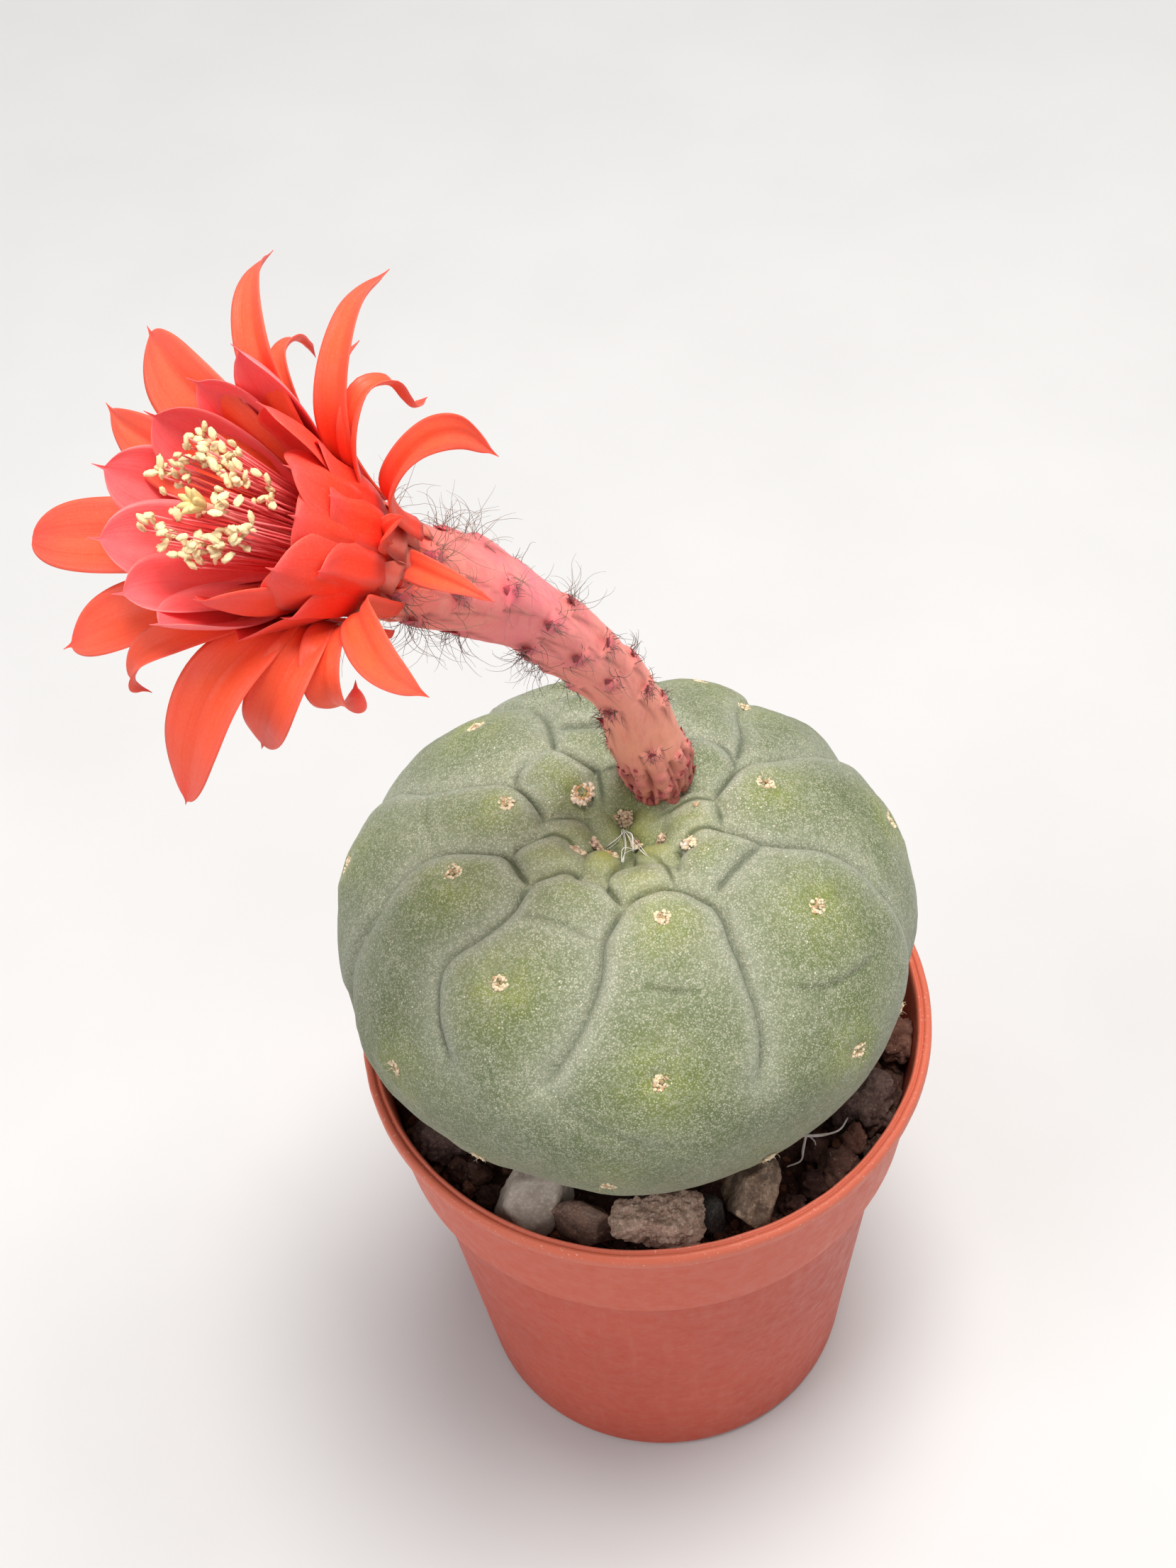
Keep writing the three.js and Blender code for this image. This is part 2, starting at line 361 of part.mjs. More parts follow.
function makeStamens() {
  const ring = [[1.35, -5.2], [2.15, -5.2], [2.3, -3.6], [1.35, -3.6]];
  const g = new THREE.LatheGeometry([...ring, ring[0]].map(([r, z]) => new THREE.Vector2(r, z)), 16);
  g.applyQuaternion(new THREE.Quaternion().setFromUnitVectors(v3(0, 1, 0), AX));
  g.translate(F0.x, F0.y, F0.z);
  let m = toManifold(g);
  for (const [ang, s, r] of ANTHERS) {
    const a = flowerPoint(ang, -4.4, 1.8), b = flowerPoint(ang, 3.0, 2.15), c = flowerPoint(ang, s, r);
    m = m.add(rod(a, b, 0.24, 0.24, 3)).add(rod(b, c, 0.27, 0.22, 3));
    const e = new THREE.OctahedronGeometry(0.95, 0); e.scale(0.8, 0.8, 1.15); e.translate(c.x, c.y, c.z);
    m = m.add(toManifold(e));
  }
  return largest(m);
}

function makePistil() {
  let m = rod(flowerPoint(0, -5.0, 0), flowerPoint(0, STIGMA_S, 0), 0.42, 0.36, 6);
  const e = new THREE.IcosahedronGeometry(1.15, 0); e.scale(1, 1, 0.85);
  const c = flowerPoint(0, STIGMA_S, 0); e.translate(c.x, c.y, c.z);
  return m.add(toManifold(e));
}

// ---------------------------------------------------------------- assembly
const group = new THREE.Group();
group.name = 'potted_flowering_cactus';

group.add(toMesh(makePot(), 'pot', ...COLORS.pot));

const body = makeBody(0), bodyFat = makeBody(GAP);
const stones = {}, stonesFat = {};
for (const [name, s] of Object.entries(STONES)) {
  let m = makeStone(s, 0);
  m = largest(m.subtract(bodyFat));
  for (const k of Object.keys(stones)) m = largest(m.subtract(stonesFat[k]));
  stones[name] = m;
  stonesFat[name] = makeStone(s, GAP);
}
let soil = makeSoil().subtract(bodyFat);
for (const k of Object.keys(stonesFat)) soil = soil.subtract(stonesFat[k]);
soil = largest(soil);

group.add(toMesh(soil, 'potting_soil', ...COLORS.potting_soil));
for (const [k, m] of Object.entries(stones)) group.add(toMesh(m, k, STONE_COLORS[k], 0.85));
group.add(toMesh(body, 'cactus_body', ...COLORS.cactus_body));

const tubeFat = makeTube(GAP);
let tube = largest(makeTube(0).subtract(bodyFat).subtract(throat()));
group.add(toMesh(tube, 'flower_tube', ...COLORS.flower_tube));

const stamens = makeStamens(), pistil = makePistil();
const done = [];                       // [solid, grown solid] pairs already placed
function place(name, build, color) {
  let m = build(0);
  const fat = build(GAP);
  if (m.intersect(tubeFat).volume() > 0) m = m.subtract(tubeFat);
  for (const [, f] of done) if (m.intersect(f).volume() > 0) m = m.subtract(f);
  m = largest(m);
  done.push([m, fat]);
  group.add(toMesh(m, name, ...color));
}
for (const [k, [ang, s, r, w, r0]] of Object.entries(INNER)) {
  const pts = [flowerPoint(ang, 0.5, r0), flowerPoint(ang, s * 0.25, r0 + 0.5), flowerPoint(ang, s * 0.5, r0 + 0.32 * (r - r0)),
    flowerPoint(ang, s * 0.78, r0 + 0.68 * (r - r0)), flowerPoint(ang, s, r)];
  place('inner_tepal_' + k, (g) => tepal(pts, w, INNER_TEPAL_T, BLADE, g, 5), COLORS.inner);
}
for (const [k, o] of Object.entries(OUTER)) {
  place('outer_tepal_' + k, (g) => tepal(o.p.map((p) => v3(...p)), o.w, OUTER_TEPAL_T, o.blunt ? BLUNT : BLADE, g, 8), COLORS.outer);
}
group.add(toMesh(pistil, 'pistil', ...COLORS.pistil));
group.add(toMesh(stamens, 'stamens', ...COLORS.stamens));

export default group;
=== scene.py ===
# Looks for the potted flowering cactus. Metres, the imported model's own frame.
import bpy, math
import numpy as np
from mathutils import Vector, Matrix, Quaternion


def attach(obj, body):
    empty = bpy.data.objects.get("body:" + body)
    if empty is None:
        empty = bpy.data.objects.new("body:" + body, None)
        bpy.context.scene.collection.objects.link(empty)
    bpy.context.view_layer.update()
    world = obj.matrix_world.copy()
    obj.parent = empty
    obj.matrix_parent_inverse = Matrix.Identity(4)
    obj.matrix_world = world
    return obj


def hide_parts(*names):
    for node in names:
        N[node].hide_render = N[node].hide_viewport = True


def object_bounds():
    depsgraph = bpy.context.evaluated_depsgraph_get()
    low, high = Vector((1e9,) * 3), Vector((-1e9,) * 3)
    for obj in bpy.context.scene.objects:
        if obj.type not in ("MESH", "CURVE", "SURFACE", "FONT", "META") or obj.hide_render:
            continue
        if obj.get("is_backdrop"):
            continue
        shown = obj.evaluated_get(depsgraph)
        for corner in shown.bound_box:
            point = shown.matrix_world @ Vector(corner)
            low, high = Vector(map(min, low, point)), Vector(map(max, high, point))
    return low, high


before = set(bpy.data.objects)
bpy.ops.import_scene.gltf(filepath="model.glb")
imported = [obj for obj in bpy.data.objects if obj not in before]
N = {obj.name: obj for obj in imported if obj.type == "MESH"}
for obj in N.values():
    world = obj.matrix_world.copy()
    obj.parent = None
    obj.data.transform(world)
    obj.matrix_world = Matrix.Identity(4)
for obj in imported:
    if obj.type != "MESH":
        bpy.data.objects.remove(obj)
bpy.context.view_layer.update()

scene = bpy.context.scene

# ------------------------------------------------------------------ camera
cam_data = bpy.data.cameras.new("camera")
cam = bpy.data.objects.new("camera", cam_data)
scene.collection.objects.link(cam)
CAM_POS = Vector((0.0, -0.156636, 0.283723))
CAM_R = Vector((0.99751127, -0.03998352, -0.05807388))
CAM_U = Vector((0.06824477, 0.75449687, 0.65274584))
CAM_F = Vector((-0.01771748, 0.65508457, -0.7553478))
m = Matrix((CAM_R, CAM_U, -CAM_F)).transposed().to_4x4()
m.translation = CAM_POS
cam.matrix_world = m
cam_data.sensor_width = 36.0
cam_data.lens = 3324.0 / 2212.0 * 36.0
cam_data.clip_start = 0.005
scene.camera = cam

# ------------------------------------------------------------------ helpers
R3 = np.random.RandomState


def hash3(i, seed):
    n = i[..., 0] * 73856093 ^ i[..., 1] * 19349663 ^ i[..., 2] * 83492791 ^ (seed * 2654435 + 12345)
    n = n & 0xFFFFFFFF
    n = (n ^ (n >> 13)) * 1274126177 & 0xFFFFFFFF
    n = (n ^ (n >> 16)) * 668265263 & 0xFFFFFFFF
    n = n ^ (n >> 15)
    return (n & 0xFFFF) / 65535.0


def vnoise(p, f, seed=0):
    """Smooth value noise, -1..1, on points in mm; f is cycles per mm."""
    q = np.asarray(p, float) * f + seed * 7.31
    i = np.floor(q).astype(np.int64)
    t = q - i
    t = t * t * t * (t * (t * 6 - 15) + 10)
    out = 0.0
    for dx in (0, 1):
        for dy in (0, 1):
            for dz in (0, 1):
                w = (t[..., 0] if dx else 1 - t[..., 0]) * (t[..., 1] if dy else 1 - t[..., 1]) * (t[..., 2] if dz else 1 - t[..., 2])
                out = out + w * hash3(i + np.array([dx, dy, dz]), seed)
    return out * 2 - 1


def fbm(p, f, octaves=4, seed=0, gain=0.5):
    out, a = 0.0, 1.0
    for k in range(octaves):
        out = out + a * vnoise(p, f * 2 ** k, seed + k)
        a *= gain
    return out


def unit(v):
    v = np.asarray(v, float)
    return v / np.maximum(np.linalg.norm(v, axis=-1, keepdims=True), 1e-12)


def mk(name, V, F, mat, nodes=(), slot=None, smooth=True, uv=None, col=None, col2=None):
    """New mesh piece from points in mm and a list or array of faces."""
    me = bpy.data.meshes.new(name)
    me.from_pydata((np.asarray(V, float) * 0.001).tolist(), [], F.tolist() if hasattr(F, "tolist") else F)
    me.validate()
    if uv is not None:
        lay = me.uv_layers.new(name="uv")
        li = np.empty(len(me.loops), np.int32)
        me.loops.foreach_get("vertex_index", li)
        lay.data.foreach_set("uv", np.asarray(uv, np.float32)[li].ravel())
    for nm, c in (("col", col), ("col2", col2)):
        if c is not None:
            a = me.color_attributes.new(nm, "FLOAT_COLOR", "POINT")
            c = np.asarray(c, np.float32)
            if c.shape[1] == 3:
                c = np.hstack([c, np.ones((len(c), 1), np.float32)])
            a.data.foreach_set("color", c.ravel())
    if smooth:
        me.polygons.foreach_set("use_smooth", [True] * len(me.polygons))
    me.update()
    o = bpy.data.objects.new(name, me)
    scene.collection.objects.link(o)
    me.materials.append(mat)
    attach(o, "root")
    if nodes:
        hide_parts(*([nodes] if isinstance(nodes, str) else nodes))
    return o


class Bag:
    """Collects many small meshes into one, with a colour for each point."""

    def __init__(self):
        self.V, self.F, self.C, self.n = [], [], [], 0

    def add(self, V, F, C=(1, 1, 1)):
        V = np.asarray(V, float)
        C = np.asarray(C, float)
        if C.ndim == 1:
            C = np.tile(C, (len(V), 1))
        self.V.append(V)
        self.F += [[int(i) + self.n for i in f] for f in F]
        self.C.append(C)
        self.n += len(V)

    def make(self, name, mat, **kw):
        return mk(name, np.vstack(self.V), self.F, mat, col=np.vstack(self.C), **kw)


def catmull(P, n, closed=False):
    """n+1 points evenly spaced along a centripetal Catmull-Rom curve through P."""
    P = np.asarray(P, float)
    A = np.vstack([2 * P[0] - P[1], P, 2 * P[-1] - P[-2]])
    out = []
    for i in range(1, len(A) - 2):
        p0, p1, p2, p3 = A[i - 1], A[i], A[i + 1], A[i + 2]
        t0 = 0.0
        t1 = t0 + np.linalg.norm(p1 - p0) ** 0.5
        t2 = t1 + np.linalg.norm(p2 - p1) ** 0.5
        t3 = t2 + np.linalg.norm(p3 - p2) ** 0.5
        for t in np.linspace(t1, t2, 24, endpoint=False):
            a1 = (t1 - t) / (t1 - t0) * p0 + (t - t0) / (t1 - t0) * p1
            a2 = (t2 - t) / (t2 - t1) * p1 + (t - t1) / (t2 - t1) * p2
            a3 = (t3 - t) / (t3 - t2) * p2 + (t - t2) / (t3 - t2) * p3
            b1 = (t2 - t) / (t2 - t0) * a1 + (t - t0) / (t2 - t0) * a2
            b2 = (t3 - t) / (t3 - t1) * a2 + (t - t1) / (t3 - t1) * a3
            out.append((t2 - t) / (t2 - t1) * b1 + (t - t1) / (t2 - t1) * b2)
    out.append(A[-2])
    out = np.array(out)
    s = np.r_[0, np.cumsum(np.linalg.norm(np.diff(out, axis=0), axis=1))]
    q = np.linspace(0, s[-1], n + 1)
    return np.stack([np.interp(q, s, out[:, k]) for k in range(3)], 1)


def tangents(P):
    return unit(np.gradient(P, axis=0))


def frames(P, side0):
    """Sideways and normal directions carried along a line without twisting."""
    T = tangents(P)
    S = np.zeros_like(P)
    s = np.asarray(side0, float)
    for i in range(len(P)):
        s = s - T[i] * np.dot(s, T[i])
        s = s / np.linalg.norm(s)
        S[i] = s
    return T, S, np.cross(S, T)


def tube(P, r, seg=3, tip=True):
    """Closed thin tube round a line; r is one radius or one for each point."""
    P = np.asarray(P, float)
    r = np.full(len(P), r, float) if np.isscalar(r) else np.asarray(r, float)
    T = tangents(P)
    a = np.array([0, 0, 1.0]) if abs(T[0][2]) < 0.9 else np.array([1.0, 0, 0])
    T, S, B = frames(P, np.cross(T[0], a))
    ang = np.arange(seg) / seg * 2 * np.pi
    V = P[:, None] + (S[:, None] * np.cos(ang)[None, :, None] + B[:, None] * np.sin(ang)[None, :, None]) * r[:, None, None]
    V = V.reshape(-1, 3)
    F = []
    n = len(P)
    for i in range(n - 1):
        for j in range(seg):
            k = (j + 1) % seg
            F.append([i * seg + j, (i + 1) * seg + j, (i + 1) * seg + k, i * seg + k])
    F.append(list(range(seg)))
    F.append([(n - 1) * seg + j for j in range(seg)][::-1])
    return V, F


def grid_faces(rows, cols, closed=True, flip=False):
    i, j = np.meshgrid(np.arange(rows - 1), np.arange(cols if closed else cols - 1), indexing="ij")
    k = (j + 1) % cols
    f = np.stack([i * cols + j, i * cols + k, (i + 1) * cols + k, (i + 1) * cols + j], -1).reshape(-1, 4)
    return f[:, ::-1] if flip else f


ICO = None


def ico(level=0):
    """Icosphere points and faces."""
    t = (1 + 5 ** 0.5) / 2
    V = unit(np.array([[-1, t, 0], [1, t, 0], [-1, -t, 0], [1, -t, 0], [0, -1, t], [0, 1, t], [0, -1, -t], [0, 1, -t], [t, 0, -1], [t, 0, 1], [-t, 0, -1], [-t, 0, 1]]))
    F = [[0, 11, 5], [0, 5, 1], [0, 1, 7], [0, 7, 10], [0, 10, 11], [1, 5, 9], [5, 11, 4], [11, 10, 2], [10, 7, 6], [7, 1, 8], [3, 9, 4], [3, 4, 2], [3, 2, 6], [3, 6, 8], [3, 8, 9], [4, 9, 5], [2, 4, 11], [6, 2, 10], [8, 6, 7], [9, 8, 1]]
    V = [list(v) for v in V]
    for _ in range(level):
        mid, G = {}, []

        def m(a, b):
            k = (min(a, b), max(a, b))
            if k not in mid:
                p = unit((np.array(V[a]) + np.array(V[b])) / 2)
                V.append(list(p))
                mid[k] = len(V) - 1
            return mid[k]
        for a, b, c in F:
            ab, bc, ca = m(a, b), m(b, c), m(c, a)
            G += [[a, ab, ca], [b, bc, ab], [c, ca, bc], [ab, bc, ca]]
        F = G
    return np.array(V), F


# ------------------------------------------------------------------ materials
class Mat:
    def __init__(self, name, rough=0.5, scale=1000.0):
        self.m = bpy.data.materials.new(name)
        self.m.use_nodes = True
        self.nt = self.m.node_tree
        self.b = self.nt.nodes["Principled BSDF"]
        self.b.inputs["Roughness"].default_value = rough
        tc = self.nt.nodes.new("ShaderNodeTexCoord")
        mp = self.nt.nodes.new("ShaderNodeMapping")
        mp.inputs["Scale"].default_value = (scale, scale, scale)
        self.nt.links.new(tc.outputs["Object"], mp.inputs["Vector"])
        self.mm = mp.outputs["Vector"]
        self.uv = tc.outputs["UV"]

    def node(self, kind, **kw):
        n = self.nt.nodes.new(kind)
        for k, v in kw.items():
            if k in n.inputs and not hasattr(n, k.lower()):
                self.put(n.inputs[k], v)
            elif hasattr(n, k):
                setattr(n, k, v)
            else:
                self.put(n.inputs[k], v)
        return n

    def put(self, sock, v):
        if hasattr(v, "is_linked") or hasattr(v, "links"):
            self.nt.links.new(v, sock)
        else:
            sock.default_value = v

    def noise(self, scale, detail=4.0, rough=0.55, vec=None, dist=0.0):
        n = self.node("ShaderNodeTexNoise")
        self.put(n.inputs["Vector"], vec or self.mm)
        n.inputs["Scale"].default_value = scale
        n.inputs["Detail"].default_value = detail
        n.inputs["Roughness"].default_value = rough
        n.inputs["Distortion"].default_value = dist
        return n.outputs["Fac"]

    def voronoi(self, scale, vec=None, feature="F1", rand=1.0, out="Distance"):
        n = self.node("ShaderNodeTexVoronoi")
        n.feature = feature
        self.put(n.inputs["Vector"], vec or self.mm)
        n.inputs["Scale"].default_value = scale
        n.inputs["Randomness"].default_value = rand
        return n.outputs[out]

    def ramp(self, fac, stops, mode="LINEAR"):
        n = self.node("ShaderNodeValToRGB")
        n.color_ramp.interpolation = mode
        el = n.color_ramp.elements
        while len(el) > 1:
            el.remove(el[-1])
        for i, (p, c) in enumerate(stops):
            e = el[0] if i == 0 else el.new(p)
            e.position = p
            c = (c, c, c) if np.isscalar(c) else c
            e.color = (c[0], c[1], c[2], 1)
        self.put(n.inputs["Fac"], fac)
        return n.outputs["Color"]

    def mix(self, fac, a, b, mode="MIX"):
        n = self.node("ShaderNodeMix")
        n.data_type = "RGBA"
        n.blend_type = mode
        n.clamp_factor = True
        self.put(n.inputs[0], fac)
        for s, v in ((n.inputs[6], a), (n.inputs[7], b)):
            if isinstance(v, tuple) and len(v) == 3:
                v = (*v, 1)
            self.put(s, v)
        return n.outputs[2]

    def math(self, op, a, b=0.0, c=None, clamp=False):
        n = self.node("ShaderNodeMath")
        n.operation = op
        n.use_clamp = clamp
        self.put(n.inputs[0], a)
        self.put(n.inputs[1], b)
        if c is not None:
            self.put(n.inputs[2], c)
        return n.outputs[0]

    def attr(self, name):
        n = self.node("ShaderNodeAttribute")
        n.attribute_name = name
        s = self.node("ShaderNodeSeparateColor")
        self.nt.links.new(n.outputs["Color"], s.inputs[0])
        return n.outputs["Color"], s.outputs[0], s.outputs[1], s.outputs[2], n.outputs["Alpha"]

    def sep(self, v):
        s = self.node("ShaderNodeSeparateXYZ")
        self.put(s.inputs[0], v)
        return s.outputs

    def stretch(self, v, sc):
        n = self.node("ShaderNodeMapping")
        self.put(n.inputs["Vector"], v)
        n.inputs["Scale"].default_value = sc
        return n.outputs["Vector"]

    def bump(self, h, strength=0.5, dist_mm=0.1, prev=None):
        n = self.node("ShaderNodeBump")
        n.inputs["Strength"].default_value = strength
        n.inputs["Distance"].default_value = dist_mm * 0.001
        self.put(n.inputs["Height"], h)
        if prev is not None:
            self.put(n.inputs["Normal"], prev)
        self.nt.links.new(n.outputs["Normal"], self.b.inputs["Normal"])
        return n.outputs["Normal"]

    def color(self, c):
        if isinstance(c, tuple):
            c = (*c, 1)
        self.put(self.b.inputs["Base Color"], c)

    def rough(self, v):
        self.put(self.b.inputs["Roughness"], v)

    def const(self, **kw):
        for k, v in kw.items():
            self.b.inputs[k.replace("_", " ")].default_value = v


scene.view_settings.view_transform = "Standard"
scene.view_settings.look = "None"


# ------------------------------------------------------------------ stage
def plain(name, size, z):
    me = bpy.data.meshes.new(name)
    s = size
    me.from_pydata([(-s, -s, z), (s, -s, z), (s, s, z), (-s, s, z)], [], [[0, 1, 2, 3]])
    o = bpy.data.objects.new(name, me)
    scene.collection.objects.link(o)
    o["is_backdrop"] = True
    return o


floor = plain("floor", 4.0, 0.0)
fm = Mat("floor_pale", 0.85)
fm.color(fm.mix(fm.ramp(fm.noise(0.02, 3), [(0.3, 0.0), (0.7, 1.0)]), (0.60, 0.595, 0.59), (0.63, 0.625, 0.62)))
floor.data.materials.append(fm.m)

world = bpy.data.worlds.new("studio")
scene.world = world
world.use_nodes = True
world.node_tree.nodes["Background"].inputs["Color"].default_value = (0.98, 0.98, 1.0, 1)
world.node_tree.nodes["Background"].inputs["Strength"].default_value = 0.42


def area(name, pos, target, size, power, color=(1, 1, 1)):
    l = bpy.data.lights.new(name, "AREA")
    l.shape = "DISK"
    l.size = size
    l.energy = power
    l.color = color
    o = bpy.data.objects.new(name, l)
    scene.collection.objects.link(o)
    o.location = pos
    d = Vector(target) - Vector(pos)
    o.rotation_euler = d.to_track_quat("-Z", "Y").to_euler()
    return o


area("key", (0.07, 0.02, 0.78), (0, 0, 0.09), 0.36, 6.6, (1.0, 0.98, 0.95))
area("fill", (-0.62, -0.30, 0.50), (0, 0, 0.10), 0.5, 1.9, (0.97, 0.98, 1.0))
area("front", (0.35, -0.60, 0.32), (0, 0, 0.07), 0.6, 0.9, (1.0, 0.98, 0.96))

# ------------------------------------------------------------------ pot
POT_H, RIM = 63.4, 32.5


def make_pot():
    outer = [(0, 0.35), (12, 0.35), (20.6, 0.3), (21.6, 0.0), (22.5, 0.0), (23.05, 0.25), (23.4, 0.9), (23.5, 1.6)]
    prof = list(outer)
    for z in np.linspace(4, 46.6, 18):
        prof.append((23.5 + (28.2 - 23.5) * (z - 1.6) / (47.0 - 1.6), z))
    prof += [(28.27, 47.25), (28.6, 47.5), (29.5, 47.55), (29.85, 47.7), (30.02, 48.1)]
    for z in np.linspace(49.5, 60.4, 9):
        prof.append((30.02 + (31.55 - 30.02) * (z - 48.1) / (60.8 - 48.1), z))
    prof += [(31.62, 60.95), (31.95, 61.35), (32.3, 61.55), (32.48, 61.9), (32.5, 62.6), (32.44, 63.05), (32.28, 63.32), (32.05, 63.4), (31.82, 63.4), (31.66, 63.3), (31.58, 63.12), (31.48, 63.1), (31.40, 63.24), (31.25, 63.36), (31.08, 63.34),
             (30.93, 63.1), (30.8, 62.7), (30.72, 62.0)]
    for z in np.linspace(60, 49.2, 8):
        prof.append((28.85 + (30.6 - 28.85) * (z - 49) / (61.5 - 49), z))
    prof += [(28.7, 48.5), (28.0, 47.6), (27.2, 46.6), (26.9, 45.8)]
    for z in np.linspace(40, 4, 10):
        prof.append((22.2 + (26.85 - 22.2) * (z - 2) / (45 - 2), z))
    prof += [(22.1, 2.6), (21.6, 1.9), (20.8, 1.65), (0, 1.65)]
    seg = 176
    ang = np.arange(seg) / seg * 2 * np.pi
    P = np.array(prof[1:-1])
    r, z = P[:, 0][:, None], P[:, 1][:, None]
    V = np.stack([r * np.cos(ang), r * np.sin(ang), z + 0 * ang], -1)
    rr = np.linalg.norm(V[..., :2], axis=-1)
    nz = vnoise(V.reshape(-1, 3), 0.035, 5).reshape(rr.shape) * 0.10
    lip = np.clip((V[..., 2] - 60.8) / 2, 0, 1)
    nz = nz + lip * (vnoise(V.reshape(-1, 3), 0.5, 6).reshape(rr.shape) * 0.05 + vnoise(V.reshape(-1, 3), 0.16, 9).reshape(rr.shape) * 0.07)
    k = np.where(V[..., 2] > 3, nz, 0) / np.maximum(rr, 1)
    V[..., 0] *= 1 + k
    V[..., 1] *= 1 + k
    rows = len(P)
    V = V.reshape(-1, 3)
    F = grid_faces(rows, seg).tolist()
    V = np.vstack([V, [0, 0, prof[0][1]], [0, 0, prof[-1][1]]])
    a, b = len(V) - 2, len(V) - 1
    for j in range(seg):
        F.append([a, (j + 1) % seg, j])
        F.append([b, (rows - 1) * seg + j, (rows - 1) * seg + (j + 1) % seg])
    return V, F


pm = Mat("terracotta_plastic", 0.42)
n1 = pm.noise(0.05, 3)
n2 = pm.noise(0.9, 5, 0.6)
base = pm.mix(pm.ramp(n1, [(0.3, 0.0), (0.7, 1.0)]), (0.43, 0.050, 0.021), (0.50, 0.066, 0.030))
base = pm.mix(pm.ramp(n2, [(0.42, 0.0), (0.62, 0.30)]), base, (0.52, 0.088, 0.045))
geo = pm.node("ShaderNodeNewGeometry")
pz = pm.sep(pm.mm)[2]
# painted highlight: the collar band above the step painted lighter
collar_highlight = pm.ramp(pm.math("MULTIPLY", pz, 1 / 64.0), [(0.735, 0.0), (0.75, 1.0)])
base = pm.mix(pm.math("MULTIPLY", collar_highlight, 0.55), base, (0.64, 0.120, 0.062))
# painted highlight: the top of the lip painted lighter still; pale flecks, thickest on the lip
lip_highlight_and_flecks = pm.ramp(pm.math("MULTIPLY", pz, 1 / 64.0), [(0.945, 0.0), (0.965, 1.0)])
fleck = pm.ramp(pm.noise(2.6, 3, 0.7), [(0.63, 0.0), (0.69, 1.0)])
base = pm.mix(pm.math("MULTIPLY", lip_highlight_and_flecks, 0.38), base, (0.66, 0.19, 0.115))
base = pm.mix(pm.math("MULTIPLY", fleck, pm.math("MULTIPLY_ADD", lip_highlight_and_flecks, 0.42, 0.08)), base, (0.82, 0.62, 0.52))
# lime bloom and dust near the collar, faint vertical streaks of dried water
streak = pm.noise(1.0, 4, 0.6, vec=pm.stretch(pm.mm, (0.55, 0.55, 0.05)))
base = pm.mix(pm.ramp(streak, [(0.55, 0.0), (0.75, 0.16)]), base, (0.62, 0.20, 0.13))
scr = pm.ramp(pm.noise(1.0, 2, 0.5, vec=pm.stretch(pm.mm, (1.4, 1.4, 6.0))), [(0.66, 0.0), (0.70, 1.0)])
base = pm.mix(pm.math("MULTIPLY", scr, 0.12), base, (0.72, 0.36, 0.27))
inner_wall_dark_patches = pm.ramp(pm.noise(0.35, 5, 0.65), [(0.52, 0.0), (0.70, 0.55)])
inner = pm.ramp(pm.math("MULTIPLY", pz, 1 / 64.0), [(0.86, 1.0), (0.97, 0.0)])
nrm = pm.node("ShaderNodeVectorMath")
nrm.operation = "DOT_PRODUCT"
pm.put(nrm.inputs[0], geo.outputs["Normal"])
pm.put(nrm.inputs[1], geo.outputs["Position"])
inside = pm.math("LESS_THAN", nrm.outputs["Value"], 0.0)
# patchy darker brown on the inward-facing wall of the pot
base = pm.mix(pm.math("MULTIPLY", pm.math("MULTIPLY", inside, inner_wall_dark_patches), 0.8), base, (0.16, 0.07, 0.045))
pm.color(base)
pm.rough(pm.ramp(pm.noise(0.6, 5, 0.6), [(0.3, 0.36), (0.7, 0.56)]))
pm.const(Specular_IOR_Level=0.34, Subsurface_Weight=0.0)
b1 = pm.bump(pm.noise(1.2, 4, 0.6), 0.25, 0.12)
rings = pm.noise(1.0, 2, 0.5, vec=pm.stretch(pm.mm, (0.02, 0.02, 2.2)))
b2 = pm.bump(rings, 0.18, 0.10, b1)
pm.bump(pm.noise(6.0, 3, 0.6), 0.12, 0.05, b2)
V, F = make_pot()
pot = mk("pot_moulded", V, F, pm.m, "pot", "pot")
# drainage holes cut through the floor
for i in range(4):
    a = i * math.pi / 2 + math.pi / 4
    bpy.ops.mesh.primitive_cylinder_add(vertices=40, radius=0.0035, depth=0.008, location=(0.013 * math.cos(a), 0.013 * math.sin(a), 0.001))
    cut = bpy.context.object
    md = pot.modifiers.new("hole", "BOOLEAN")
    md.operation = "DIFFERENCE"
    md.solver = "EXACT"
    md.object = cut
    bpy.context.view_layer.update()
    dg = bpy.context.evaluated_depsgraph_get()
    me2 = bpy.data.meshes.new_from_object(pot.evaluated_get(dg))
    pot.modifiers.clear()
    pot.data = me2
    bpy.data.objects.remove(cut)

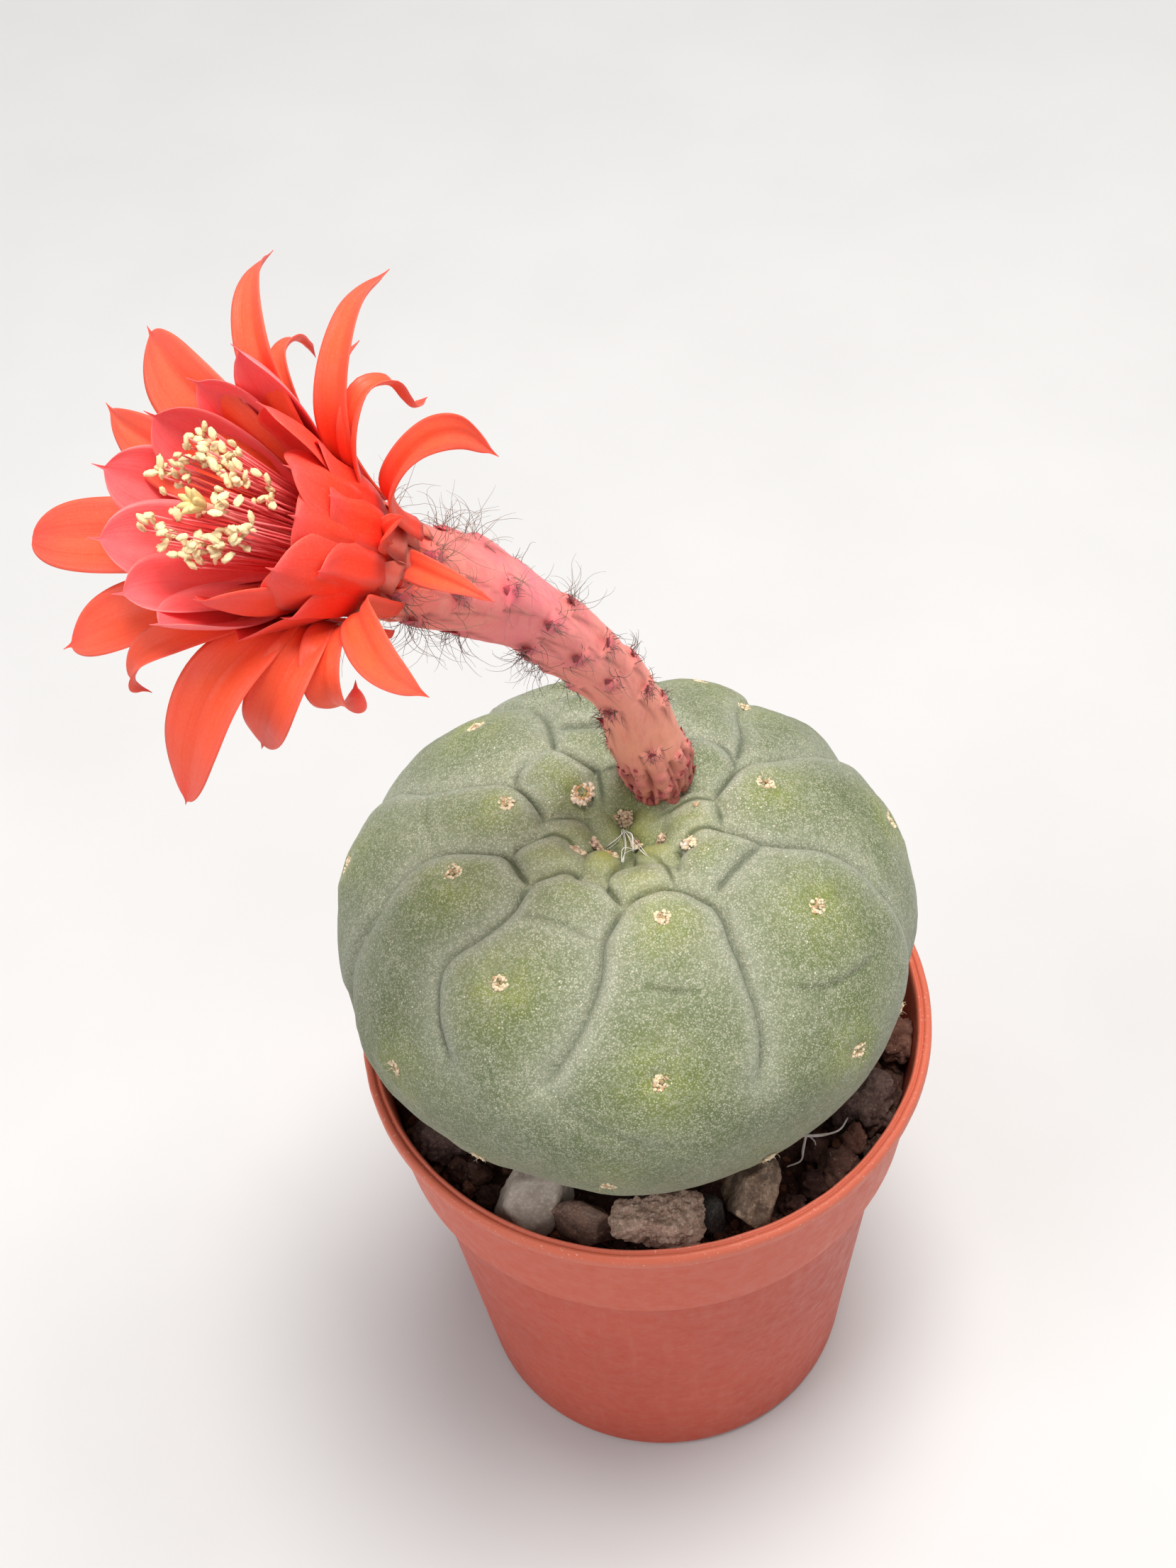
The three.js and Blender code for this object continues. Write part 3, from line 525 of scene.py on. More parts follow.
# ------------------------------------------------------------------ cactus body
BCX, BCY, BCZ, BA, BB, BN = -1.47, 0.0, 80.24, 31.34, 18.54, 2.2
PITX, PITY, PITD, PITR = -0.66, -0.47, 5.6, 6.4
GROOVES = [
    ('R', 1, [[-25.52, 12.34, 90.6], [-21.52, 8.64, 94.35], [-18.1, 7.89, 95.9], [-15.23, 7.09, 96.87], [-12.57, 5.97, 97.54], [-10.58, 3.92, 97.78], [-9.45, 2.11, 97.61], [-8.7, 0.74, 97.32]]),
    ('R', 1, [[-12.41, 6.26, 97.54], [-11.94, 7.77, 97.46], [-10.93, 9.44, 97.39], [-9.7, 10.42, 97.41], [-7.87, 10.73, 97.55], [-6.6, 9.97, 97.71], [-5.36, 8.82, 97.74], [-4.14, 7.7, 97.52], [-3.29, 6.91, 97.2], [-3.21, 5.89, 96.77], [-3.11, 4.29, 95.87], [-3.29, 2.82, 95.09]]),
    ('S', 0.8, [[-7.79, 10.72, 97.56], [-8.07, 12.47, 97.22], [-8.57, 16.0, 96.23], [-9.51, 19.08, 94.92], [-10.72, 20.68, 93.9]]),
    ('R', 1, [[-3.18, 6.39, 96.98], [-2.41, 6.85, 97.07], [-1.27, 7.12, 97.09], [-0.52, 7.15, 97.09]]),
    ('R', 1, [[-8.93, 0.43, 97.38], [-6.98, 0.93, 96.57], [-5.61, 1.17, 95.79], [-4.92, 0.87, 95.27], [-4.53, 0.02, 94.87], [-4.29, -1.01, 94.7]]),
    ('R', 1, [[-13.1, -3.37, 97.6], [-11.98, -2.54, 97.73], [-10.58, -2.08, 97.7], [-8.41, -1.67, 97.21], [-7.57, -2.04, 96.88], [-6.73, -2.47, 96.51], [-5.42, -4.32, 96.33], [-5.23, -5.45, 96.67]]),
    ('R', 1, [[-5.21, -4.23, 96.19], [-4.33, -2.68, 95.12], [-3.31, -1.75, 94.22], [-2.46, -2.16, 93.93], [-1.91, -3.58, 94.45]]),
    ('R', 1, [[-10.8, -7.73, 97.58], [-10.13, -7.21, 97.66], [-8.9, -6.96, 97.67], [-7.18, -6.79, 97.5], [-5.97, -7.03, 97.33], [-4.42, -7.85, 97.26], [-3.1, -8.86, 97.36], [-2.3, -10.25, 97.53], [-1.5, -11.41, 97.54]]),
    ('L', 1, [[-10.8, -7.73, 97.58], [-11.71, -9.0, 97.32], [-12.71, -10.57, 96.88], [-14.36, -11.82, 96.23], [-16.3, -12.75, 95.44], [-18.32, -13.33, 94.53], [-19.54, -13.86, 93.83], [-20.41, -14.73, 93.06], [-20.87, -16.28, 92.1], [-20.97, -17.93, 91.11], [-20.91, -19.25, 90.26], [-20.59, -20.8, 89.24], [-20.15, -22.34, 88.05]]),
    ('R', 0.35, [[-12.37, -11.27, 96.81], [-9.32, -12.44, 97.07], [-7.08, -13.61, 97.06], [-4.87, -14.84, 96.93], [-4.11, -15.07, 96.91]]),
    ('R', 1, [[-2.71, -7.79, 97.0], [-1.95, -5.91, 95.95], [-0.91, -4.29, 94.76], [0.36, -3.48, 94.32], [1.96, -4.32, 95.3], [2.86, -5.7, 96.33], [3.41, -7.72, 97.18], [3.96, -9.37, 97.46]]),
    ('R', 1, [[-1.36, -11.51, 97.54], [-0.4, -10.77, 97.53], [0.84, -10.31, 97.49], [2.43, -9.88, 97.47], [4.14, -9.95, 97.48], [5.39, -10.46, 97.42], [6.74, -11.31, 97.2], [7.49, -11.69, 97.03], [8.5, -13.27, 96.52], [9.03, -15.43, 95.8], [9.83, -17.58, 94.83], [10.54, -19.91, 93.54], [11.14, -21.77, 92.23], [11.43, -23.25, 91.02], [11.44, -24.66, 89.74], [11.05, -26.7, 87.46]]),
    ('L', 0.85, [[-1.44, -11.68, 97.53], [-2.29, -13.02, 97.39], [-3.15, -14.41, 97.1], [-3.71, -15.55, 96.79], [-3.97, -17.44, 96.19], [-4.37, -19.23, 95.48], [-5.04, -20.84, 94.7], [-5.92, -22.42, 93.78], [-6.95, -23.88, 92.72], [-8.19, -25.2, 91.48], [-9.43, -26.24, 90.19], [-10.66, -26.93, 88.99]]),
    ('R', 1, [[2.4, 1.15, 94.51], [3.56, 1.52, 95.33], [5.02, 1.78, 96.24], [6.53, 2.01, 96.96], [8.07, 1.82, 97.36], [8.86, 1.57, 97.46]]),
    ('R', 0.8, [[8.86, 1.57, 97.46], [9.03, -0.07, 97.44], [9.11, -1.89, 97.44]]),
    ('R', 1, [[8.45, 1.92, 97.42], [9.68, 3.59, 97.51], [11.27, 5.88, 97.2], [12.87, 7.17, 96.7], [14.5, 7.82, 96.13], [16.25, 8.88, 95.32], [21.1, 12.11, 91.87]]),
    ('R', 0.8, [[6.41, 11.04, 97.32], [8.06, 10.98, 97.1], [9.66, 10.14, 96.97], [10.82, 8.73, 96.96], [11.39, 7.42, 97.02], [11.54, 6.44, 97.1]]),
    ('R', 1, [[3.76, -6.63, 96.93], [4.3, -4.83, 96.48], [5.34, -3.45, 96.52], [6.57, -2.55, 96.9], [8.2, -2.29, 97.33], [10.06, -2.84, 97.45], [11.95, -3.56, 97.21], [13.87, -4.1, 96.74], [15.84, -3.96, 96.14], [18.58, -3.61, 95.07], [21.35, -3.97, 93.59], [23.65, -4.79, 91.9], [25.12, -5.8, 90.41]]),
    ('S', 0.7, [[13.52, -3.87, 96.85], [11.39, -5.99, 97.15], [9.65, -7.87, 97.26], [8.38, -9.49, 97.25], [7.94, -10.57, 97.16]]),
    ('S', 0.7, [[3.66, -8.43, 97.35], [4.15, -9.77, 97.48]]),
    ('R', 1, [[-27.35, -4.95, 91.24], [-26.44, -3.68, 92.16], [-25.15, -2.62, 93.17], [-23.48, -1.61, 94.22], [-21.76, -1.05, 95.1], [-19.29, -1.41, 96.1], [-16.5, -2.26, 96.95], [-13.32, -3.42, 97.57], [-12.75, -4.25, 97.6], [-11.85, -6.27, 97.58], [-10.87, -7.8, 97.56]]),
    ('S', 0.3, [[-21.71, 6.86, 94.59], [-21.73, 3.89, 94.95], [-21.39, 1.47, 95.26], [-20.52, -0.46, 95.64]]),
    ('L', 0.45, [[-0.21, -19.92, 95.26], [0.81, -20.29, 95.05], [2.18, -20.58, 94.82], [3.56, -20.72, 94.62], [5.31, -20.69, 94.38]]),
    ('L', 0.4, [[14.19, -19.2, 92.51], [16.35, -18.88, 91.58], [18.27, -18.25, 90.74], [20.37, -16.79, 90.06], [22.16, -15.1, 89.5], [23.52, -13.47, 89.08]]),
    ('L', 0.22, [[-8.18, -28.42, 87.93], [-7.16, -29.28, 86.84], [-5.7, -29.96, 85.93], [-3.96, -30.53, 84.94], [-1.35, -30.93, 83.94], [0.87, -30.99, 83.25], [3.13, -30.78, 83.02]]),
    ('L', 0.3, [[-26.08, -8.88, 91.4], [-23.82, -10.87, 92.46]]),
]
AREOLES = [
    [-4.99, 4.49, 96.64, 44], [-12.91, 2.77, 97.66, 20], [-16.77, 18.33, 93.14, 20], [-18.71, -4.75, 96.09, 20],
    [-14.19, -17.89, 94.29, 20], [2.27, -13.6, 97.18, 20], [0.95, -27.7, 89.78, 20], [17.76, -11.06, 94.16, 20],
    [14.04, 3.57, 96.73, 20], [13.16, 20.08, 92.47, 20], [27.66, 5.4, 87.21, 20], [21.03, -21.29, 83.71, 20],
    [-26.03, -19.18, 82.78, 20], [-31.12, 5.3, 86.24, 20], [-4.95, -30.8, 76.82, 18], [-5.41, -7.22, 97.27, 20],
    [-6.04, -3.08, 96.26, 20], [-4.3, -1.45, 94.77, 20], [3.08, -1.2, 94.72, 20], [5.75, -3.89, 96.79, 20],
    [-0.81, 2.53, 94.25, 26], [-2.77, -3.02, 94.43, 18], [0.39, -0.77, 93.32, 18],
]
# flanks that face away, in the same manner
PADS = [
    [-6.64, -0.99, 2.47, 2.48, 0.95, 0.15],
    [-9.19, -4.97, 3.85, 3.15, 1.0, 0.2],
    [-3.31, -4.72, 1.79, 2.0, 1.0, 0.8],
    [0.82, -8.85, 3.37, 3.24, 0.95, 0.25],
    [2.07, -3.39, 1.85, 1.62, 0.85, 0.75],
    [1.34, 0.93, 1.79, 2.38, 1.25, 0.45],
    [-2.97, 0.85, 1.65, 2.48, 1.0, 0.2],
    [-0.94, -0.56, 1.17, 1.43, 0.8, 0.45],
    [6.19, -0.87, 3.02, 3.62, 1.0, 0.15],
    [-1.3, 4.66, 2.27, 3.72, 1.1, 0.1],
    [2.74, 2.87, 2.06, 2.48, 0.9, 0.15],
]
REAR = [
    ("R", 0.9, [[-11.0, 21.0, 93.4], [-13.2, 23.4, 90.6], [-15.0, 25.2, 87.0], [-16.0, 26.3, 83.0], [-15.4, 27.0, 78.5]]),
    ("S", 0.7, [[-10.7, 20.7, 93.9], [-6.0, 22.6, 93.4], [-1.0, 23.6, 93.0], [2.6, 22.4, 93.4]]),
    ("L", 0.9, [[4.0, 16.5, 96.2], [2.9, 20.0, 94.8], [2.5, 23.4, 92.8], [3.6, 27.0, 89.4], [3.2, 30.0, 85.0], [4.0, 31.0, 79.0]]),
    ("S", 0.7, [[4.0, 16.5, 96.2], [5.0, 13.6, 96.9], [6.4, 11.0, 97.4]]),
    ("R", 0.8, [[4.0, 16.5, 96.2], [0.4, 15.2, 96.9], [-4.0, 14.8, 97.0], [-8.3, 15.4, 96.4]]),
    ("R", 0.9, [[21.1, 12.1, 91.9], [23.6, 13.8, 89.2], [25.0, 16.0, 85.6], [25.2, 17.8, 81.0], [24.4, 19.0, 76.5]]),
    ("L", 0.7, [[11.4, 7.4, 97.1], [12.6, 12.0, 95.9], [12.4, 17.0, 94.0], [13.8, 21.5, 90.9], [14.6, 25.0, 87.0], [14.2, 26.8, 82.0]]),
    ("R", 0.9, [[-27.4, -4.9, 91.2], [-29.6, -5.9, 88.2], [-31.2, -7.0, 84.0], [-31.8, -8.0, 79.0]]),
    ("L", 0.8, [[-25.5, 12.3, 90.6], [-27.6, 12.8, 87.4], [-29.0, 13.3, 83.0], [-29.4, 13.6, 78.0]]),
    ("R", 0.8, [[25.1, -5.8, 90.4], [27.4, -7.2, 87.0], [28.6, -8.8, 82.6], [28.4, -10.2, 77.5]]),
    ("L", 0.35, [[-8.0, 28.6, 84.5], [-4.6, 29.8, 83.4], [-1.0, 30.2, 83.2]]),
    ("L", 0.35, [[15.0, 24.0, 88.4], [18.4, 22.0, 87.4], [21.0, 19.4, 87.2]]),
    ("L", 0.3, [[-29.0, 3.0, 86.4], [-29.4, 6.2, 85.8], [-28.6, 9.4, 86.0]]),
]
REAR_AREOLES = [[-3.6, 26.9, 91.2, 20], [-14.6, 27.9, 82.2, 16], [9.0, 25.0, 91.0, 20], [8.4, 29.8, 80.8, 16], [20.6, 20.6, 84.6, 18], [-22.8, 21.6, 84.2, 18], [-28.4, -14.8, 76.0, 16],
                [29.4, 8.6, 74.6, 16], [28.7, -11.6, 74.2, 16], [12.2, -28.6, 74.8, 16], [-18.8, -26.2, 74.6, 16], [0.6, 31.2, 74.2, 16]]


def smoothstep(x, a, b):
    t = np.clip((x - a) / (b - a), 0, 1)
    return t * t * (3 - 2 * t)


def body_base(th, ph):
    e = 2 / BN
    cp, sp = np.abs(np.cos(ph)) ** e, np.sign(np.sin(ph)) * np.abs(np.sin(ph)) ** e
    x, y, z = BCX + BA * cp * np.cos(th), BCY + BA * cp * np.sin(th), BCZ + BB * sp
    z = z - np.where(ph > 0, PITD * np.exp(-((x - PITX) ** 2 + (y - PITY) ** 2) / PITR ** 2), 0)
    return np.stack([x, y, z], -1)


def body_normal(P):
    x, y, z = P[:, 0], P[:, 1], P[:, 2]
    d = np.where(z > BCZ, PITD * np.exp(-((x - PITX) ** 2 + (y - PITY) ** 2) / PITR ** 2), 0)
    zz = z + d
    r = np.maximum(np.hypot(x - BCX, y - BCY), 1e-6)
    k = BN / BA * (r / BA) ** (BN - 1)
    kz = BN / BB * (np.abs(zz - BCZ) / BB) ** (BN - 1) * np.sign(zz - BCZ)
    gx, gy = k * (x - BCX) / r, k * (y - BCY) / r
    gx = gx + kz * d * -2 * (x - PITX) / PITR ** 2
    gy = gy + kz * d * -2 * (y - PITY) / PITR ** 2
    return unit(np.stack([gx, gy, kz], -1))


def relief(P, Nn):
    """Height over the smooth body, and masks for the painted crease shade, the painted shoulder highlight and distance.
    """
    n = len(P)
    neg, pos, crease_shade, shoulder_highlight = np.zeros(n), np.zeros(n), np.zeros(n), np.zeros(n)
    near = np.full(n, 1e9)
    for side, dep, pts in GROOVES + REAR:
        C = catmull(pts, max(4, int(len(pts) * 2.2)))
        lo, hi = C.min(0) - 9, C.max(0) + 9
        sel = np.where(np.all((P > lo) & (P < hi), axis=1))[0]
        if not len(sel):
            continue
        Q, NQ = P[sel], Nn[sel]
        best = np.full(len(sel), 1e9)
        sgn = np.zeros(len(sel))
        par = np.zeros(len(sel))
        L = np.r_[0, np.cumsum(np.linalg.norm(np.diff(C, axis=0), axis=1))]
        for i in range(len(C) - 1):
            d = C[i + 1] - C[i]
            ll = np.dot(d, d)
            t = np.clip(((Q - C[i]) @ d) / ll, 0, 1)
            w = Q - (C[i] + t[:, None] * d)
            dist = np.linalg.norm(w, axis=1)
            left = np.einsum("ij,ij->i", w, np.cross(NQ, d / math.sqrt(ll)))
            b = dist < best
            best[b], sgn[b], par[b] = dist[b], left[b], (L[i] + t * math.sqrt(ll))[b]
        total = L[-1]
        taper = np.clip(0.25 + np.minimum(par, total - par) / 2.2, 0, 1)
        wob = 1 + 0.18 * vnoise(Q, 0.22, 31)
        rad = np.hypot(Q[:, 0] - PITX, Q[:, 1] - PITY)
        size = dep * taper * wob * (1.22 - 0.55 * smoothstep(rad, 9, 29)) * (0.40 + 0.60 * smoothstep(rad, 3.0, 7.5))
        s = sgn * (1 if side == "L" else -1)
        if side == "S":
            h = -0.80 * np.exp(-(best / 0.45)) - 0.40 * np.exp(-(best / 2.4) ** 2)
            up = 0 * h
        else:
            h = np.where(s < 0, -0.45 * np.exp(-best / 0.36) - 0.62 * np.exp(-best / 3.2), -1.07 * np.exp(-best / 0.34))
            up = np.where(s > 0, 0.66 * (1 - np.exp(-best / 0.55)) * np.exp(-(best / 4.6) ** 1.5), 0)
        h, up = h * size, up * size
        neg[sel] = np.minimum(neg[sel], h)
        pos[sel] = np.maximum(pos[sel], up)
        # mask for painted shade in the crease
        crease_shade[sel] = np.maximum(crease_shade[sel], size * np.exp(-(best / 0.30) ** 2))
        # mask for the painted highlight on the raised side of the crease
        sh = size * np.where((s > 0) if side != "S" else (s > -9), np.exp(-((best - 0.95) / 0.80) ** 2), 0.5 * np.exp(-((best - 0.9) / 0.7) ** 2))
        shoulder_highlight[sel] = np.maximum(shoulder_highlight[sel], sh)
        if dep > 0.5:
            near[sel] = np.minimum(near[sel], best)
    return neg, pos, crease_shade, shoulder_highlight, near


if True:
    cols, rows = 400, 200
    th = np.arange(cols) / cols * 2 * np.pi
    pf = np.linspace(-np.pi / 2 * 0.62, np.pi / 2 * 0.9985, 4000)
    pr = BA * np.cos(pf) ** (2 / BN)
    pz = BB * np.sign(np.sin(pf)) * np.abs(np.sin(pf)) ** (2 / BN)
    ds = np.hypot(np.diff(pr), np.diff(pz))
    step = np.interp(0.5 * (pz[1:] + pz[:-1]), [-18, -6, 4, 10, 15, 18.6], [0.62, 0.52, 0.40, 0.30, 0.25, 0.24])
    acc = np.r_[0, np.cumsum(ds / step)]
    ph = np.interp(np.linspace(0, acc[-1], rows), acc, pf)
    TH, PH = np.meshgrid(th, ph)
    BP = body_base(TH.ravel(), PH.ravel())
    BNm = body_normal(BP)
    neg, pos, crease_shade, shoulder_highlight, near = relief(BP, BNm)
    rad = np.hypot(BP[:, 0] - PITX, BP[:, 1] - PITY)
    fade = smoothstep(BP[:, 2], 66, 74)
    pillow = (1.35 - 0.55 * smoothstep(rad, 12, 29)) * (1 - np.exp(-np.minimum(near, 14) / 3.4)) - 0.60
    h = (neg + pos + pillow) * fade
    # small cushions crowded round the growing point
    pad, yel = np.full(len(BP), -1.0), np.zeros(len(BP))
    for x, y, a, b, hh, ye in PADS:
        d2 = ((BP[:, 0] - x) / a) ** 2 + ((BP[:, 1] - y) / b) ** 2
        dome = hh * (np.sqrt(np.clip(1.25 - d2, 0, 2)) - 0.35)
        pad = np.maximum(pad, np.where(d2 < 1.25, dome, -1.0))
        yel = np.maximum(yel, ye * np.exp(-d2 * 1.1))
    wpad = (1 - smoothstep(rad, 7.5, 11.5)) * (BP[:, 2] > BCZ)
    h = np.where(pad > -0.99, h * (1 - 0.85 * wpad) + pad * wpad, h - 0.55 * (1 - smoothstep(rad, 4.5, 9)) * (BP[:, 2] > BCZ))
    h += 0.45 * vnoise(BP, 0.055, 3) * fade + 0.16 * vnoise(BP, 0.16, 4) * fade
    halo = np.zeros(len(BP))
    for x, y, z, s in AREOLES + REAR_AREOLES:
        d = np.linalg.norm(BP - [x, y, z], axis=1)
        w = 3.0 + s * 0.055
        halo = np.maximum(halo, np.exp(-(d / w) ** 2) * (0.55 + 0.45 * (s > 19)))
        h -= 0.30 * np.exp(-(d / (0.035 * s + 0.35)) ** 2)
        h += 0.20 * np.exp(-((d - 2.4) / 1.5) ** 2)
    small = np.zeros(len(BP))
    small = np.maximum(small, yel)
    # pores and papillae
    h += 0.035 * vnoise(BP, 1.1, 8)
    BV = BP + BNm * h[:, None]
    # lower body mask: scurf, corky patches and painted shade
    low = 1 - smoothstep(BV[:, 2], 68, 86)
    # join to the tapering neck that goes into the soil
    kz = BV[:, 2]
    body_col = np.stack([np.clip(crease_shade, 0, 1), np.clip(shoulder_highlight, 0, 1), np.clip(halo, 0, 1)], 1)
    inter = (1 - np.exp(-(np.minimum(near, 20) / 3.0) ** 1.6))
    body_col2 = np.stack([low, np.clip(small, 0, 1), smoothstep(-rad, -9, -2), inter], 1)
    # neck rings under the lowest body ring
    ring0 = BV[:cols]
    r0 = np.hypot(ring0[:, 0] - BCX, ring0[:, 1] - BCY)
    NV, NR = [], [(0.99, 65.2), (0.985, 63.6), (0.965, 61.6), (0.93, 59.4), (0.86, 57.0), (0.74, 54.5), (0.5, 50.0), (0.2, 45.6), (0.04, 44.6)]
    for k, z in NR:
        ang = np.arange(cols) / cols * 2 * np.pi
        rr = (r0.mean() * 0.25 + r0 * 0.75) * k if k > 0.9 else r0.mean() * k * np.ones(cols)
        rr = rr * (1 + 0.012 * vnoise(np.stack([30 * np.cos(ang), 30 * np.sin(ang), z + 0 * ang], 1), 0.25, 12))
        NV.append(np.stack([BCX + rr * np.cos(ang), BCY + rr * np.sin(ang), z + 0 * ang], 1))
    NV = np.vstack(NV[::-1])
    V = np.vstack([NV, BV])
    k = len(NV)
    F = grid_faces(rows + len(NR), cols).tolist()
    F.append(list(range(cols))[::-1])
    top = len(V)
    V = np.vstack([V, V[-cols:].mean(0)[None]])
    for j in range(cols):
        F.append([top - cols + j, top - cols + (j + 1) % cols, top])
    c1 = np.vstack([np.zeros((k, 3)), body_col, body_col[-cols:].mean(0)[None]])
    c2 = np.vstack([np.tile([1.0, 0, 0, 1.0], (k, 1)), body_col2, body_col2[-cols:].mean(0)[None]])

bm = Mat("cactus_skin", 0.62)
_, a_crease_shade, a_shoulder_highlight, a_ha, _ = bm.attr("col")
_, a_low_cork_and_shade, a_sm, a_in, a_mid = bm.attr("col2")
g = bm.mix(bm.ramp(bm.noise(0.10, 3, 0.5), [(0.32, 0.0), (0.68, 1.0)]), (0.165, 0.205, 0.082), (0.255, 0.285, 0.140))
g = bm.mix(bm.ramp(bm.noise(0.55, 5, 0.62), [(0.40, 0.0), (0.66, 0.65)]), g, (0.330, 0.350, 0.195))
g = bm.mix(bm.math("MULTIPLY", a_ha, bm.ramp(bm.noise(0.28, 4, 0.6), [(0.3, 0.35), (0.65, 1.0)])), g, (0.270, 0.330, 0.060))
g = bm.mix(bm.math("MULTIPLY", a_sm, 0.55), g, (0.36, 0.40, 0.07))
mott = bm.ramp(bm.noise(0.19, 4, 0.6), [(0.34, 0.25), (0.64, 1.0)])
g = bm.mix(bm.math("MULTIPLY", bm.math("MULTIPLY", a_mid, mott), 0.74), g, (0.098, 0.142, 0.038))
g = bm.mix(bm.math("MULTIPLY", a_ha, bm.ramp(bm.noise(0.45, 4, 0.6), [(0.36, 0.25), (0.62, 1.0)])), g, (0.330, 0.375, 0.050))
# painted highlight along the raised shoulders beside the creases, pale grey and broken up in fine grains like the wax
# bloom
wax = bm.ramp(bm.noise(1.7, 6, 0.7), [(0.38, 0.25), (0.62, 1.0)])
g = bm.mix(bm.math("MULTIPLY", bm.math("MULTIPLY", a_shoulder_highlight, wax), 0.88), g, (0.60, 0.615, 0.51))
waxe = bm.math("MULTIPLY", bm.math("SUBTRACT", 1.0, a_mid), bm.ramp(bm.noise(0.3, 4, 0.6), [(0.3, 0.45), (0.65, 1.0)]))
g = bm.mix(bm.math("MULTIPLY", waxe, 0.62), g, (0.50, 0.52, 0.43))
waxall = bm.ramp(bm.noise(0.16, 5, 0.65), [(0.40, 0.0), (0.68, 0.55)])
g = bm.mix(bm.math("MULTIPLY", waxall, wax), g, (0.50, 0.51, 0.395))
# fine pale papillae
pap = bm.ramp(bm.voronoi(4.2), [(0.12, 1.0), (0.42, 0.0)])
g = bm.mix(bm.math("MULTIPLY", bm.math("SUBTRACT", 1.0, pap), 0.40), g, (0.085, 0.125, 0.040))
g = bm.mix(bm.math("MULTIPLY", pap, bm.ramp(bm.noise(0.5, 4, 0.6), [(0.32, 0.18), (0.62, 0.72)])), g, (0.70, 0.71, 0.55))
worm = bm.ramp(bm.noise(2.6, 3, 0.55, dist=1.2), [(0.50, 0.0), (0.60, 1.0)])
g = bm.mix(bm.math("MULTIPLY", worm, 0.30), g, (0.62, 0.64, 0.48))
# pale scurf flecks
sc = bm.ramp(bm.voronoi(1.25), [(0.07, 1.0), (0.15, 0.0)])
scm = bm.math("MULTIPLY", sc, bm.ramp(bm.noise(0.22, 3, 0.6, dist=0.4), [(0.50, 0.0), (0.62, 1.0)]))
g = bm.mix(bm.math("MULTIPLY", scm, 0.9), g, (0.86, 0.83, 0.70))
sc3 = bm.ramp(bm.voronoi(2.3), [(0.10, 1.0), (0.20, 0.0)])
scn = bm.math("MULTIPLY", sc3, bm.ramp(bm.noise(0.13, 4, 0.65, dist=0.5), [(0.56, 0.0), (0.64, 1.0)]))
g = bm.mix(bm.math("MULTIPLY", scn, 0.9), g, (0.88, 0.80, 0.68))
scr = bm.ramp(bm.noise(1.0, 6, 0.75, vec=bm.stretch(bm.mm, (0.9, 0.9, 0.5))), [(0.63, 0.0), (0.67, 1.0)])
g = bm.mix(bm.math("MULTIPLY", scr, bm.ramp(a_low_cork_and_shade, [(0.0, 0.10), (0.8, 0.45)])), g, (0.66, 0.56, 0.42))
# corky brown patches lower down, then painted shade darkening the lower body towards the bottom
cork = bm.math("MULTIPLY", a_low_cork_and_shade, bm.ramp(bm.noise(0.45, 6, 0.7), [(0.44, 0.0), (0.62, 1.0)]))
g = bm.mix(bm.math("MULTIPLY", cork, 0.50), g, (0.33, 0.29, 0.16))
# painted shade: the lower body darkened evenly towards the bottom
g = bm.mix(bm.math("MULTIPLY", a_low_cork_and_shade, 0.62), g, (0.130, 0.118, 0.058))
neckf = bm.ramp(bm.math("MULTIPLY", bm.sep(bm.mm)[2], 0.01), [(0.60, 1.0), (0.675, 0.0)])
g = bm.mix(neckf, g, bm.mix(bm.noise(0.8, 5, 0.7), (0.16, 0.10, 0.055), (0.34, 0.25, 0.15)))
# painted shade: dark lines along the creases
g = bm.mix(bm.math("MULTIPLY", a_crease_shade, 0.82), g, (0.062, 0.078, 0.042))
g = bm.mix(bm.math("MULTIPLY", a_in, 0.30), g, (0.14, 0.21, 0.05))
g = bm.mix(bm.math("MULTIPLY", a_sm, bm.ramp(bm.noise(0.8, 3, 0.5), [(0.3, 0.45), (0.6, 0.95)])), g, (0.42, 0.42, 0.06))
g = bm.mix(0.86, g, bm.mix(1.0, g, (0.76, 0.74, 0.74), "MULTIPLY"))
bm.color(g)
bm.rough(bm.ramp(bm.noise(1.2, 5, 0.6), [(0.3, 0.52), (0.7, 0.72)]))
bm.const(Specular_IOR_Level=0.35, Sheen_Weight=0.12, Subsurface_Weight=0.06, Subsurface_Scale=0.0015)
b1 = bm.bump(bm.voronoi(4.2), 0.45, 0.10)
b2 = bm.bump(bm.noise(1.4, 6, 0.65), 0.42, 0.22, b1)
bm.bump(bm.noise(8.0, 3, 0.6), 0.18, 0.05, b2)
body = mk("cactus_skin_body", V, F, bm.m, "cactus_body", "cactus_body", col=c1, col2=c2)


def on_body(p, extra=0.0):
    """Where the finished skin is, nearest to a point given on the smooth body."""
    d = np.linalg.norm(BP - np.asarray(p, float), axis=1)
    k = int(np.argmin(d))
    return BV[k] + BNm[k] * extra, BNm[k]


# ------------------------------------------------------------------ areoles, wool, crown hairs
am = Mat("areole_wool", 0.9)
ac, _, _, _, _ = am.attr("col")
am.color(am.mix(am.ramp(am.noise(3.0, 4, 0.7), [(0.42, 0.0), (0.72, 0.45)]), ac, (0.50, 0.34, 0.20)))
am.const(Sheen_Weight=0.4)
am.bump(am.noise(5.0, 4, 0.7), 0.6, 0.15)


def basis(n):
    n = unit(n)
    a = np.array([0, 0, 1.0]) if abs(n[2]) < 0.9 else np.array([1.0, 0, 0])
    e = unit(np.cross(a, n))
    return e, np.cross(n, e), n


def hair(p, d, length, r, curl, rs, steps=6, droop=0.0):
    """One curling hair as a point list."""
    pts = [np.array(p, float)]
    d = unit(d)
    w = unit(rs.normal(size=3))
    for i in range(steps):
        w = unit(w + 0.5 * rs.normal(size=3))
        d = unit(d + curl * np.cross(d, w) + np.array([0, 0, -droop]))
        pts.append(pts[-1] + d * length / steps)
    return pts


